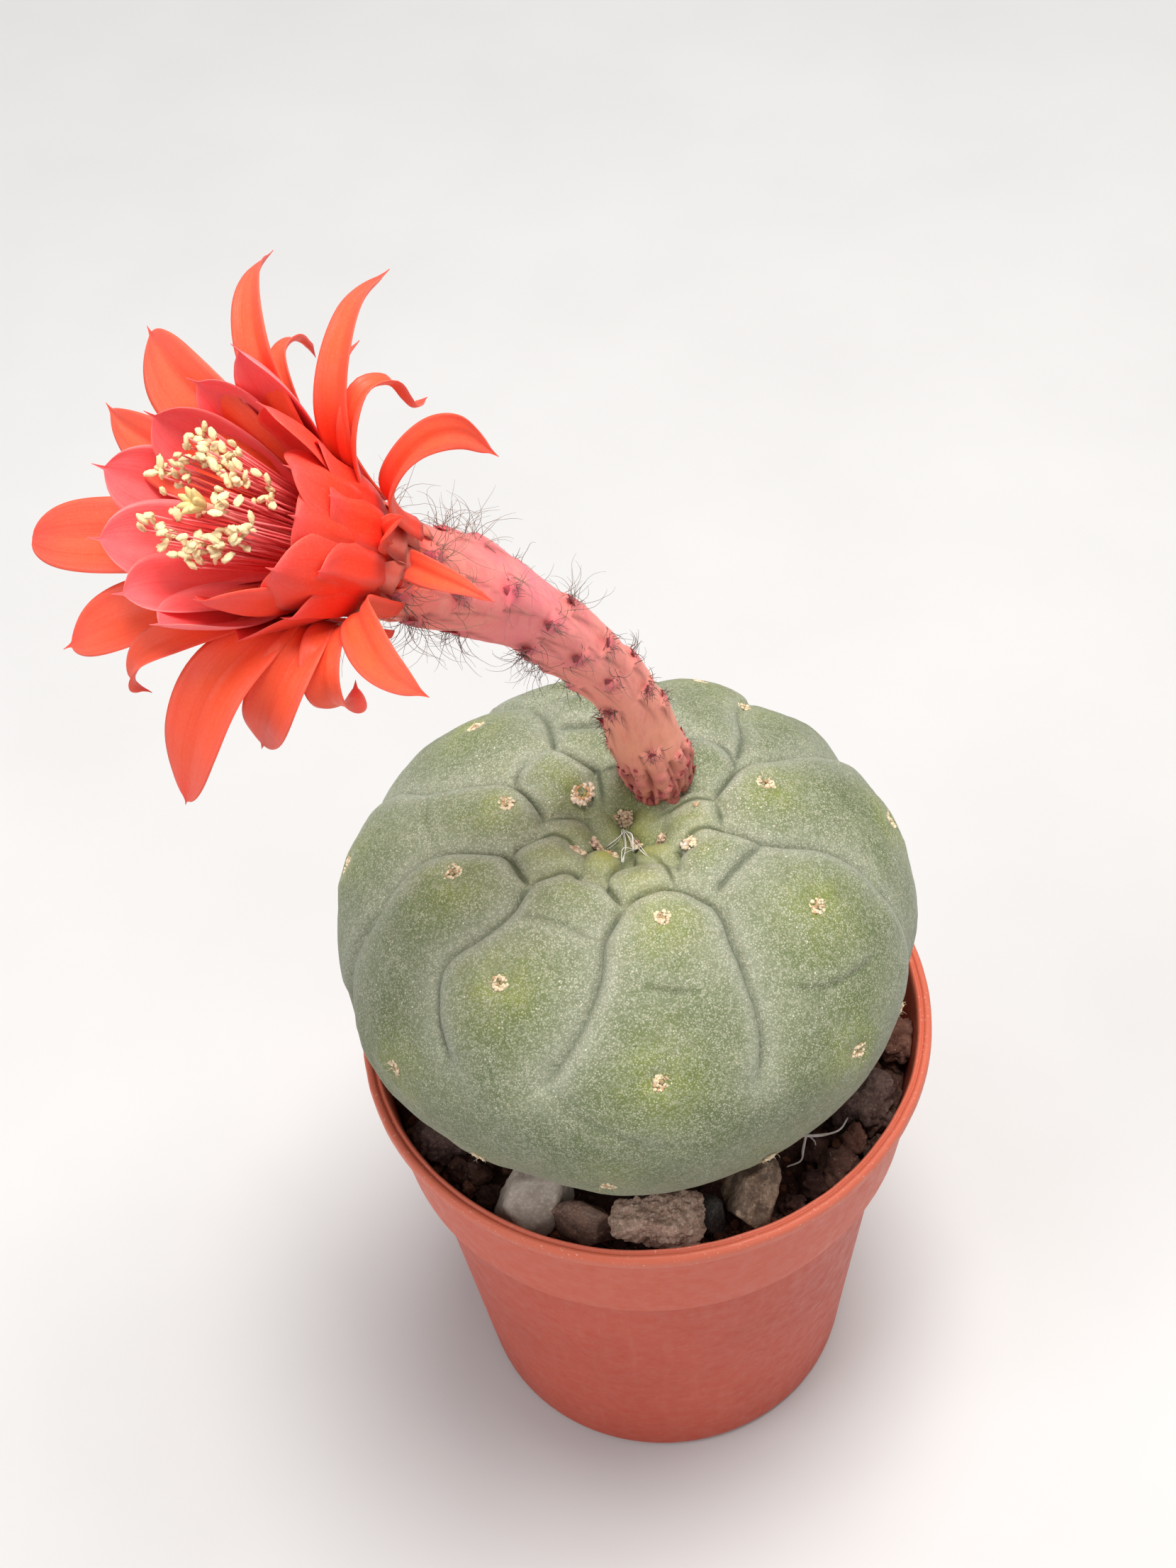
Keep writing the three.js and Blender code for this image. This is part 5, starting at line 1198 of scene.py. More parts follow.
OUTER = {
    'a': [[-22.9, -7.8, 149.3], [-24.3, -8.3, 150.9], [-28.0, -8.6, 156.3], [-31.3, -7.4, 159.7], [-34.3, -4.6, 161.7], [-36.4, -0.6, 162.4], [-37.6, 2.6, 162.2]],
    'b': [[-24.1, -8.3, 148.1], [-25.6, -8.8, 149.6], [-30.3, -9.2, 154.7], [-34.1, -9.0, 156.4], [-37.6, -6.9, 157.6], [-40.1, -4.3, 157.9], [-41.6, -1.6, 157.8]],
    'c': [[-25.1, -10.1, 146.3], [-26.7, -10.8, 147.7], [-29.0, -11.2, 149.7], [-33.2, -11.4, 151.0], [-39.3, -10.6, 150.7], [-45.2, -8.2, 149.0], [-49.9, -5.7, 147.0]],
    'd': [[-25.1, -11.9, 145.4], [-26.7, -12.7, 146.7], [-28.8, -13.6, 147.9], [-33.0, -14.9, 147.8], [-38.1, -15.3, 146.9], [-43.2, -14.6, 144.4], [-47.9, -13.0, 140.5]],
    'e': [[-24.1, -12.7, 142.9], [-25.6, -13.5, 144.3], [-27.4, -15.3, 146.4], [-30.9, -18.1, 148.3], [-35.8, -19.9, 148.0], [-39.3, -20.2, 146.3], [-40.7, -19.9, 143.2], [-39.9, -18.4, 140.0]],
    'f': [[-24.0, -14.5, 145.0], [-25.5, -15.5, 146.4], [-26.8, -17.6, 147.8], [-29.1, -20.8, 148.0], [-32.7, -23.4, 146.0], [-35.5, -25.1, 141.3], [-37.6, -26.0, 134.0]],
    'g': [[-22.3, -15.2, 143.2], [-23.7, -16.2, 144.5], [-24.6, -18.6, 146.9], [-25.8, -22.2, 147.9], [-27.4, -24.2, 146.4], [-29.1, -24.8, 142.9], [-30.9, -22.5, 136.5]],
    'h': [[-18.4, -16.6, 145.7], [-19.6, -17.8, 147.2], [-21.0, -20.4, 149.7], [-20.0, -25.1, 151.0], [-18.6, -28.5, 151.6], [-16.8, -31.4, 152.5], [-14.7, -34.3, 153.9]],
    'i': [[-19.8, -16.2, 142.3], [-21.2, -17.2, 143.6], [-23.0, -19.6, 147.4], [-23.9, -22.7, 148.2], [-24.2, -24.4, 146.7], [-23.8, -24.8, 144.2], [-22.5, -22.4, 141.4], [-22.5, -18.9, 140.3]],
    'j': [[-14.6, -14.9, 147.3], [-15.7, -15.9, 148.9], [-16.4, -18.3, 152.5], [-14.1, -22.4, 155.1], [-11.8, -25.1, 156.3], [-9.4, -27.8, 157.1]],
    'k': [[-15.9, -11.5, 150.4], [-16.9, -12.3, 152.2], [-17.8, -13.3, 155.6], [-16.2, -14.3, 160.0], [-13.7, -15.5, 163.3], [-10.8, -18.0, 165.7], [-8.1, -22.7, 167.2]],
    'l': [[-18.6, -10.5, 151.6], [-19.7, -11.1, 153.4], [-20.4, -12.3, 159.6], [-19.8, -11.9, 163.2], [-18.7, -10.7, 164.8], [-16.9, -9.5, 164.3], [-16.0, -8.6, 161.9], [-15.4, -7.4, 159.9], [-14.5, -4.7, 158.5]],
    'm': [[-19.4, -9.4, 151.5], [-20.5, -10.0, 153.3], [-21.1, -11.0, 158.5], [-21.2, -10.7, 163.4], [-20.5, -8.7, 166.7], [-19.2, -4.8, 168.4], [-16.7, 1.6, 166.9]],
    'n': [[-20.9, -8.3, 150.8], [-22.2, -8.8, 152.5], [-23.5, -9.0, 155.4], [-25.8, -8.3, 161.1], [-27.3, -6.1, 165.3], [-27.7, -2.8, 167.7], [-27.4, 0.5, 168.3], [-26.3, 4.6, 167.4]],
    'o': [[-19.1, -5.2, 148.3], [-20.5, -5.7, 150.1], [-24.0, -5.8, 155.0], [-25.9, -4.0, 159.8], [-26.4, -1.3, 161.3], [-25.4, 1.4, 160.7], [-24.6, 2.9, 158.7], [-24.3, 3.8, 156.7]],
    'p': [[-18.5, -7.4, 150.2], [-19.8, -7.9, 152.0], [-21.6, -6.6, 155.6], [-22.4, -4.4, 158.2], [-21.6, -2.0, 160.2], [-19.9, 0.2, 161.0]],
    'q': [[-17.7, -14.0, 150.6], [-18.5, -15.0, 152.3], [-18.3, -16.2, 154.3], [-17.4, -17.3, 156.3], [-16.4, -18.2, 157.8]],
}
SHAPE = {
    "a": dict(w=6.5, tm_=0.62, p=2.2, q=0.78, base=0.42, cup=0.10), "b": dict(w=5.4, tm_=0.60, p=2.0, q=0.85, cup=0.12), "c": dict(w=6.6, tm_=0.60, p=2.8, q=0.50, cup=0.10, mucro=0.0),
    "d": dict(w=6.0, tm_=0.62, p=2.4, q=0.70, cup=0.12), "e": dict(w=3.9, tm_=0.48, p=2.0, q=0.7, base=0.6, cup=0.20), "f": dict(w=6.3, tm_=0.60, p=2.5, q=0.62, base=0.42, cup=0.10, mucro=0.02),
    "g": dict(w=4.8, tm_=0.6, p=2.4, q=0.72, cup=0.14), "h": dict(w=3.8, tm_=0.48, p=2.1, q=0.78, base=0.60, cup=0.12), "i": dict(w=3.6, tm_=0.45, p=2.6, q=0.6, base=0.72, cup=0.16),
    "j": dict(w=2.5, tm_=0.46, p=2.0, q=0.8, base=0.7, cup=0.16), "k": dict(w=3.3, tm_=0.40, p=3.0, q=0.66, base=0.78, cup=0.16), "l": dict(w=2.5, tm_=0.32, p=1.5, q=0.8, base=0.8, cup=0.22),
    "m": dict(w=3.6, tm_=0.45, p=2.3, q=0.72, base=0.62, cup=0.16), "n": dict(w=3.7, tm_=0.45, p=2.5, q=0.70, base=0.62, cup=0.16), "o": dict(w=2.3, tm_=0.4, p=2.2, q=0.75, base=0.75, cup=0.2),
    "p": dict(w=3.4, tm_=0.62, p=2.0, q=0.85, cup=0.18), "q": dict(w=2.6, tm_=0.5, p=1.8, q=0.85, base=0.7, cup=0.16),
}
for i, (k, P) in enumerate(OUTER.items()):
    s = dict(SHAPE[k])
    w = s.pop("w")
    petal("outer_petal_" + k, P, w, "outer_tepal_" + k, outer_mat, "outer_tepals", seed=50 + i, **s)


def fl(a, s, r):
    a = math.radians(a)
    return F0 + AX * s + (EU * math.cos(a) + ER * math.sin(a)) * r


# angle, tip height, tip radius, width, seat radius, sideways turn of the tip
INNER = {
    "a": [-4, 17.3, 13.2, 5.6, 3.9, 2], "b": [20, 16.8, 12.2, 6.0, 3.2, 4], "c": [44, 18.2, 11.6, 6.8, 3.9, 0], "d": [72, 18.8, 13.8, 7.0, 3.2, 0],
    "e": [99, 18.8, 12.6, 7.4, 3.9, 0], "f": [126, 18.2, 11.4, 6.8, 3.2, 0], "g": [150, 17.2, 10.6, 6.8, 3.9, 0], "h": [184, 18.0, 7.6, 7.2, 3.2, 0],
    "i": [228, 15.2, 7.0, 8.0, 3.9, 0], "j": [266, 14.6, 6.4, 8.0, 3.2, 0], "k": [302, 15.0, 6.6, 7.8, 3.9, 0], "l": [336, 16.4, 9.0, 6.8, 3.2, 3],
}
for i, (k, (a, s, r, w, r0, tw)) in enumerate(INNER.items()):
    near = k in "hijkl"
    bulge = 1.3 if near else 0.9
    P = [fl(a, 0.2, r0), fl(a, s * 0.22, r0 + 0.8), fl(a, s * 0.45, r0 + 0.36 * (r - r0) + bulge), fl(a, s * 0.68, r0 + 0.62 * (r - r0) + bulge), fl(a, s * 0.86, r0 + 0.84 * (r - r0) + bulge * 0.5), fl(a + tw, s, r)]
    petal("inner_petal_" + k, P, w, "inner_tepal_" + k, near_mat if near else inner_mat, "inner_tepals", base=0.55 if near else 0.45, tm_=0.62 if near else 0.68, p=2.6, q=0.5, cup=0.20, thick=0.38,
          seed=80 + i, wave=0.14 if near else 0.26, mucro=0.055)

for i, (a, s, r, w) in enumerate([(172, 11.5, 9.6, 5.6), (204, 10.5, 8.4, 5.8), (238, 11.0, 7.8, 5.6), (284, 11.5, 7.6, 5.2), (318, 12.0, 8.6, 5.0), (22, 12.5, 10.0, 4.6), (110, 12.0, 11.5, 5.6), (62, 12.5, 11.0, 5.2)]):
    P = [fl(a, 0.6, 4.4), fl(a, 2.6, 5.6), fl(a, 5.2, 6.3 + 0.2 * (r - 7)), fl(a, s * 0.75, 6.4 + 0.6 * (r - 7)), fl(a, s, r)]
    petal("cup_petal_%d" % i, P, w, None, near_mat, "inner_tepals", base=0.6, tm_=0.55, p=2.4, q=0.55, cup=0.2, thick=0.36, seed=180 + i, wave=0.12, nl=26, nw=10)

# flared seat of the perianth and the bract-like scales round it
prof = [(-3.0, 4.05), (-1.5, 4.35), (0.0, 4.65), (1.5, 5.0), (2.8, 5.3), (3.6, 5.45), (3.9, 5.3), (3.6, 5.0), (2.6, 4.75), (1.2, 4.5), (-0.5, 4.2), (-3.2, 3.6)]
seg_ = 72
aa = np.arange(seg_) / seg_ * 360
V = []
for s_, r_ in prof:
    rr_ = r_ * (1 + 0.035 * np.sin(np.radians(aa) * 9 + s_) + 0.02 * np.sin(np.radians(aa) * 23))
    V.append(np.array([fl(a, s_, r) for a, r in zip(aa, rr_)]))
V = np.vstack(V)
F = grid_faces(len(prof), seg_).tolist()
F += [[(len(prof) - 1) * seg_ + j, j, (j + 1) % seg_, (len(prof) - 1) * seg_ + (j + 1) % seg_][::-1] for j in range(seg_)]
uvv = np.stack([np.repeat(np.linspace(0.05, 0.4, len(prof)), seg_), np.tile(np.arange(seg_) / seg_, len(prof))], 1)
mk("perianth_seat", V, F, near_mat, slot="flower_tube", uv=uvv, col=np.tile([1.0, 1.0, 0.5], (len(V), 1)))
brm = Mat("bracts", 0.5)
bc_, _, _, _, _ = brm.attr("col")
brm.color(brm.mix(brm.ramp(brm.noise(1.3, 4, 0.6), [(0.4, 0.0), (0.7, 0.5)]), bc_, (0.90, 0.22, 0.17)))
brm.const(Subsurface_Weight=0.1, Subsurface_Scale=0.001)
brm.bump(brm.noise(3.0, 4, 0.6), 0.3, 0.1)
rs = R3(44)
bb = Bag()
for ring_, (s_, r_, cnt_, L_, W_, lf) in enumerate([(-4.6, 4.25, 8, 4.6, 1.5, 0.20), (-2.2, 4.55, 9, 5.2, 1.8, 0.45), (-0.2, 4.95, 9, 5.0, 1.9, 0.9)]):
    for j in range(cnt_):
        a = (j + 0.5 * (ring_ % 2)) / cnt_ * 360 + 6 * rs.normal()
        p = fl(a, s_, r_)
        if s_ < -1:
            t_ = 1 + s_ / 64.0
            c, d, tan, r = tube_at(t_, fl(a, 0, 1) - F0)
            p, fw = c + d * (r + 0.25), tan
        else:
            d, fw = unit(fl(a, 0, 1) - F0), AX
        v, f = blade(p, fw, d, L_ * (0.85 + 0.3 * rs.rand()), W_, lf * (0.5 + 0.5 * rs.rand()), lf * 0.7 * rs.rand(), 10)
        u = np.clip(((v - p) @ fw) / L_, 0, 1)[:, None]
        bb.add(v, f, np.array([0.90, 0.19, 0.12]) * (1 - u) + np.array([0.88, 0.085, 0.055]) * u)
bb.make("perianth_bracts", brm.m, slot="flower_tube")

# ------------------------------------------------------------------ stamens and pistil
stm = Mat("anthers", 0.75)
sc2, _, _, _, _ = stm.attr("col")
stm.color(stm.mix(stm.ramp(stm.noise(3.5, 4, 0.7), [(0.4, 0.0), (0.7, 0.6)]), sc2, (0.98, 0.83, 0.56)))
stm.const(Subsurface_Weight=0.1, Subsurface_Scale=0.001)
stm.bump(stm.noise(7.0, 4, 0.7), 0.6, 0.10)
fim = Mat("filaments", 0.45)
fc, _, _, _, _ = fim.attr("col")
fim.color(fim.mix(fim.ramp(fim.noise(1.5, 3, 0.6), [(0.4, 0.0), (0.7, 0.5)]), fc, (0.92, 0.10, 0.09)))
fim.const(Subsurface_Weight=0.1, Subsurface_Scale=0.001)
fim.bump(fim.noise(8.0, 2, 0.5), 0.15, 0.03)
CL = [(52, 17.2, 5.2, 7, 1.0), (30, 16.2, 4.6, 2, 0.7), (0, 17.2, 3.8, 7, 1.0), (14, 17.8, 5.7, 4, 0.7), (345, 16.6, 4.2, 3, 0.8), (265, 17.6, 2.4, 4, 0.8), (108, 17.2, 4.9, 7, 1.0),
      (176, 17.2, 3.6, 7, 1.0), (205, 16.6, 3.2, 5, 0.9), (148, 16.6, 4.2, 4, 0.8), (320, 16.0, 3.0, 4, 0.8), (235, 16.4, 3.4, 4, 0.8), (80, 15.0, 4.2, 2, 0.6), (290, 14.4, 3.0, 3, 0.8)]
rs = R3(5)
an, fi = Bag(), Bag()
ic2, if2 = ico(2)
for a, s, r, cnt, sp in CL:
    for i in range(int(cnt * 2.6)):
        p = fl(a, s, r) + sp * 0.82 * rs.normal(size=3)
        ax_ = unit(AX * (0.6 + rs.rand()) + 0.8 * rs.normal(size=3))
        e1, e2, n = basis(ax_)
        L, Wd = 0.46 + 0.18 * rs.rand(), 0.29 + 0.07 * rs.rand()
        W = ic2.copy()
        lob = 1 - 0.28 * np.exp(-(W[:, 0] / 0.22) ** 2)          # groove between the two pollen sacs
        W = W[:, :1] * Wd * e1 + (W[:, 1:2] * Wd * 0.72 * lob[:, None]) * e2 + W[:, 2:] * L * n
        W = W * (1 + 0.10 * rs.normal(size=(len(W), 1)))
        t = np.array([0.95, 0.70, 0.36]) * (0.80 + 0.24 * rs.rand())
        an.add(p + W, if2, np.clip(t, 0, 1))
        # filament from the throat wall
        a0 = math.degrees(math.atan2(np.dot(p - F0, ER), np.dot(p - F0, EU)))
        rr = np.linalg.norm((p - F0) - AX * np.dot(p - F0, AX))
        q = [fl(a0, -3.5, 1.9), fl(a0 + 2 * rs.normal(), 2.0, 2.2), fl(a0 + 3 * rs.normal(), 9.0, 2.2 + 0.45 * (rr - 2.2)), p - n * L * 0.6]
        pts = catmull(q, 9)
        v, f = tube(pts, np.linspace(0.14, 0.09, len(pts)), 4)
        u = np.repeat(np.linspace(0, 1, len(pts)), 4)[:, None]
        fi.add(v, f, np.array([0.86, 0.02, 0.02]) * (1 - u) + np.array([0.95, 0.20, 0.20]) * u)
fi.make("filaments", fim.m, nodes="stamens", slot="stamens")
an.make("anthers", stm.m, slot="stamens")

# style and lobed stigma
pi = Bag()
pts = catmull([fl(0, -5, 0), fl(0, 4, 0.1), fl(90, 11, 0.25), fl(0, 18.0, 0)], 20)
v, f = tube(pts, np.linspace(0.42, 0.34, len(pts)), 12)
u = np.repeat(np.linspace(0, 1, len(pts)), 12)[:, None]
pi.add(v, f, np.array([0.80, 0.05, 0.05]) * (1 - u) + np.array([0.86, 0.30, 0.22]) * u)
for i in range(7):
    a = i / 7 * 360 + 12
    q = catmull([fl(a, 17.7, 0.12), fl(a, 18.5, 0.42), fl(a, 19.2, 0.80), fl(a, 19.5, 1.12)], 8)
    v, f = tube(q, [0.26, 0.34, 0.38, 0.40, 0.40, 0.37, 0.31, 0.22, 0.08], 8)
    pi.add(v, f, np.array([0.72, 0.52, 0.20]) * (0.9 + 0.2 * rs.rand()))
pim = Mat("pistil", 0.6)
pc, _, _, _, _ = pim.attr("col")
pim.color(pim.mix(pim.ramp(pim.noise(3.0, 3, 0.6), [(0.4, 0.0), (0.7, 0.5)]), pc, (0.86, 0.66, 0.34)))
pim.bump(pim.noise(9.0, 3, 0.6), 0.5, 0.06)
pi.make("style_and_stigma", pim.m, nodes="pistil", slot="pistil")


# ------------------------------------------------------------------ potting soil
def pot_inner(z):
    z = np.asarray(z, float)
    return np.where(z > 49, 28.85 + (30.6 - 28.85) * (z - 49) / 12.5, 22.2 + (26.85 - 22.2) * np.clip(z - 2, 0, 43) / 43)


def soil_z(x, y):
    p = np.stack([x, y, 0 * x], -1)
    r = np.hypot(x, y)
    z = 57.3 + 0.75 * vnoise(p, 0.09, 41) + 0.45 * vnoise(p, 0.24, 42) + 0.22 * vnoise(p, 0.6, 43) + 0.12 * np.abs(vnoise(p, 1.3, 44))
    return z - 1.0 * np.clip((r - 27.5) / 2.3, 0, 1) ** 2 + 0.5 * np.clip((24 - r) / 8, 0, 1)


soil_m = Mat("potting_mix", 0.95)
sc_, _, _, _, _ = soil_m.attr("col")
s_ = soil_m.mix(soil_m.ramp(soil_m.noise(0.5, 5, 0.7), [(0.35, 0.0), (0.65, 1.0)]), (0.050, 0.021, 0.015), (0.125, 0.060, 0.043))
s_ = soil_m.mix(soil_m.ramp(soil_m.noise(2.2, 4, 0.7), [(0.50, 0.0), (0.66, 0.6)]), s_, (0.16, 0.10, 0.075))
s_ = soil_m.mix(soil_m.ramp(soil_m.voronoi(1.6), [(0.07, 0.9), (0.13, 0.0)]), s_, (0.30, 0.24, 0.20))
s_ = soil_m.mix(0.999, s_, s_)
soil_m.color(soil_m.mix(1.0, s_, sc_, "MULTIPLY"))
b1 = soil_m.bump(soil_m.noise(1.1, 6, 0.75), 0.8, 0.6)
soil_m.bump(soil_m.noise(5.0, 4, 0.7), 0.5, 0.15, b1)
soil_m.const(Specular_IOR_Level=0.25)

cols = 220
ang = np.arange(cols) / cols * 2 * np.pi
rings = []
for z in (2.0, 2.4, 14, 26, 38, 45.5, 48.6, 52, 55.0):
    r = (21.4 if z < 2.2 else 21.9 if z < 3 else min(float(pot_inner(z)) - 0.25, 26.7 if z < 47.5 else 99))
    rings.append(np.stack([r * np.cos(ang), r * np.sin(ang), z + 0 * ang], 1))
for r in np.r_[29.72, np.linspace(29.2, 17.0, 34)]:
    x, y = r * np.cos(ang), r * np.sin(ang)
    rings.append(np.stack([x, y, np.minimum(soil_z(x, y), 60)], 1))
V = np.vstack(rings)
F = grid_faces(len(rings), cols).tolist()
F.append(list(range(cols))[::-1])
F.append([(len(rings) - 1) * cols + j for j in range(cols)])
mk("soil_mass", V, F, soil_m.m, "potting_soil", "potting_soil", col=np.ones((len(V), 3)))

rs = R3(61)
bag = Bag()
i1V, i1F = ico(1)
i2V, i2F = ico(2)
i0V, i0F = ico(0)
tone_set = [(1.0, 1.0, 1.0), (1.5, 1.35, 1.2), (0.6, 0.55, 0.55), (2.4, 1.9, 1.5), (0.9, 0.7, 0.6), (1.9, 1.7, 1.5)]
for i in range(1900):
    a = rs.rand() * 2 * math.pi
    r = 29.4 * (0.74 + 0.26 * math.sqrt(rs.rand())) if i % 4 else 29.5 * (0.6 + 0.4 * rs.rand())
    x, y = r * math.cos(a), r * math.sin(a)
    s = 0.22 + 0.70 * rs.rand() ** 2.6
    r = min(r, 29.6 - s)
    x, y = r * math.cos(a), r * math.sin(a)
    z = float(soil_z(np.array([x]), np.array([y]))[0]) + s * (0.15 + 0.5 * rs.rand())
    B0 = i2V if s > 0.8 else i1V if s > 0.35 else i0V
    F0_ = i2F if s > 0.8 else i1F if s > 0.35 else i0F
    q = rs.normal(size=(3, 3))
    q, _ = np.linalg.qr(q)
    W = B0 * np.array([1.0, 0.55 + 0.4 * rs.rand(), 0.45 + 0.5 * rs.rand()]) @ q
    W = W * (1 + 0.28 * vnoise(B0 * 3 + i * 1.7, 0.9, 3))[:, None] * s
    bag.add(np.array([x, y, z]) + W, F0_, np.array(tone_set[rs.randint(len(tone_set))]) * (0.7 + 0.6 * rs.rand()))
for i in range(230):
    a = rs.rand() * 2 * math.pi
    r = 23 + 6.2 * rs.rand()
    x, y = r * math.cos(a), r * math.sin(a)
    z = float(soil_z(np.array([x]), np.array([y]))[0]) + 0.15
    d = np.array([rs.normal(), rs.normal(), 0.25 * rs.normal()])
    pts = hair([x, y, z], d, 1.5 + 3.5 * rs.rand(), 0, 0.35, rs, 6)
    pts = [np.array([q[0] * min(1, 29.5 / max(1e-6, math.hypot(q[0], q[1]))), q[1] * min(1, 29.5 / max(1e-6, math.hypot(q[0], q[1]))),
                     max(q[2], float(soil_z(np.array([q[0]]), np.array([q[1]]))[0]) - 0.1)]) for q in pts]
    v, f = tube(pts, np.linspace(0.10, 0.05, len(pts)) * (0.6 + 0.9 * rs.rand()), 4)
    bag.add(v, f, np.array([2.2, 1.7, 1.3]) * (0.5 + 1.1 * rs.rand()))
bag.make("soil_crumbs_and_fibres", soil_m.m, slot="potting_soil")

# ------------------------------------------------------------------ stones and clods


def stone(name, c, s, turn, seed, mat, cuts=6, cut_at=0.72, rough_=0.10, fine=0.03, level=4, slot=None, node=None, tilt=(0, 0), soft=0.10, box=0.0):
    rs_ = R3(seed)
    V, F = ico(level)
    V = V.copy()
    if box:
        p = 2 + 4 * box
        V = V / (np.abs(V) ** p).sum(1, keepdims=True) ** (1 / p)
        V = V / np.abs(V).max()
    r = np.linalg.norm(V, axis=1)
    D = unit(V)
    for k in range(cuts):
        n = unit(rs_.normal(size=3) * np.array([1, 1, 0.8]))
        d = cut_at + 0.22 * rs_.rand()
        h = D @ n
        lim = np.where(h > 0.05, d / np.maximum(h, 0.05), 9)
        # soft minimum keeps worn edges
        kk = soft
        m_ = np.clip(0.5 + 0.5 * (lim - r) / kk, 0, 1)
        r = lim * (1 - m_) + r * m_ - kk * m_ * (1 - m_)
    V = D * r[:, None]
    V = V * np.array(s)
    V = V + D * (rough_ * fbm(V, 0.35, 3, seed) * np.mean(s) * 0.35)[:, None] + D * (fine * fbm(V, 1.6, 3, seed + 9))[:, None] * 2
    ex, ey = math.radians(tilt[0]), math.radians(tilt[1])
    Rx = np.array([[1, 0, 0], [0, math.cos(ex), -math.sin(ex)], [0, math.sin(ex), math.cos(ex)]])
    Ry = np.array([[math.cos(ey), 0, math.sin(ey)], [0, 1, 0], [-math.sin(ey), 0, math.cos(ey)]])
    a = math.radians(turn)
    Rz = np.array([[math.cos(a), -math.sin(a), 0], [math.sin(a), math.cos(a), 0], [0, 0, 1]])
    V = V @ (Rz @ Ry @ Rx).T + np.array(c)
    # stay clear of the pot wall
    rr = np.hypot(V[:, 0], V[:, 1])
    lim = np.where(V[:, 2] < 63.2, pot_inner(np.minimum(V[:, 2], 61.5)) - 0.12, 99)
    k = np.minimum(1, lim / np.maximum(rr, 1e-6))
    V[:, 0] *= k
    V[:, 1] *= k
    return mk(name, V, F, mat, node, slot)


def rock(name, dark, mid, light, s1=0.5, s2=2.2, spots=None, bands=None, rough=0.85, bump=0.5):
    m = Mat(name, rough)
    c = m.mix(m.ramp(m.noise(s1, 5, 0.65), [(0.35, 0.0), (0.66, 1.0)]), dark, mid)
    c = m.mix(m.ramp(m.noise(s2, 4, 0.7), [(0.48, 0.0), (0.68, 0.75)]), c, light)
    if bands:
        w = m.noise(1.0, 4, 0.6, vec=m.stretch(m.mm, bands[0]), dist=0.6)
        c = m.mix(m.ramp(w, [(0.44, 0.0), (0.56, bands[2])]), c, bands[1])
    if spots:
        v = m.ramp(m.voronoi(spots[0]), [(spots[1], 1.0), (spots[1] + 0.10, 0.0)])
        c = m.mix(m.math("MULTIPLY", v, spots[3]), c, spots[2])
    m.color(c)
    m.rough(m.ramp(m.noise(1.2, 3, 0.6), [(0.3, rough - 0.1), (0.7, min(1, rough + 0.08))]))
    b = m.bump(m.noise(1.4, 6, 0.7), bump, 0.3)
    m.bump(m.noise(6.0, 4, 0.7), bump * 0.7, 0.08, b)
    return m.m


grey = rock("grey_limestone", (0.36, 0.285, 0.23), (0.56, 0.475, 0.40), (0.70, 0.62, 0.54), 0.3, 2.0, spots=(2.4, 0.10, (0.20, 0.17, 0.15), 0.4), bump=0.3)
brownw = rock("brown_slate", (0.12, 0.060, 0.042), (0.30, 0.17, 0.12), (0.48, 0.32, 0.24), 0.7, 3.0, bands=((0.5, 0.5, 2.4), (0.17, 0.115, 0.09), 0.5))
pink = rock("pink_granite", (0.30, 0.165, 0.115), (0.60, 0.40, 0.30), (0.82, 0.66, 0.54), 0.45, 3.0, spots=(2.0, 0.14, (0.12, 0.07, 0.05), 0.7), bump=1.0)
banded = rock("banded_sandstone", (0.21, 0.125, 0.080), (0.52, 0.36, 0.25), (0.72, 0.55, 0.41), 0.45, 2.4, bands=((0.5, 0.5, 0.16), (0.10, 0.065, 0.045), 0.7), spots=(1.6, 0.10, (0.05, 0.035, 0.03), 0.8), bump=0.7)
darks = rock("dark_basalt", (0.030, 0.026, 0.024), (0.085, 0.075, 0.070), (0.20, 0.18, 0.165), 0.8, 3.0)
peat = rock("peat_clod", (0.055, 0.028, 0.023), (0.15, 0.085, 0.070), (0.27, 0.175, 0.145), 0.8, 2.4, spots=(1.8, 0.10, (0.28, 0.20, 0.15), 0.6), rough=0.95, bump=0.9)
rear = rock("pale_tuff", (0.25, 0.23, 0.21), (0.40, 0.37, 0.33), (0.55, 0.52, 0.47), 0.5, 2.2, spots=(2.0, 0.13, (0.14, 0.12, 0.10), 0.6), bump=0.6)

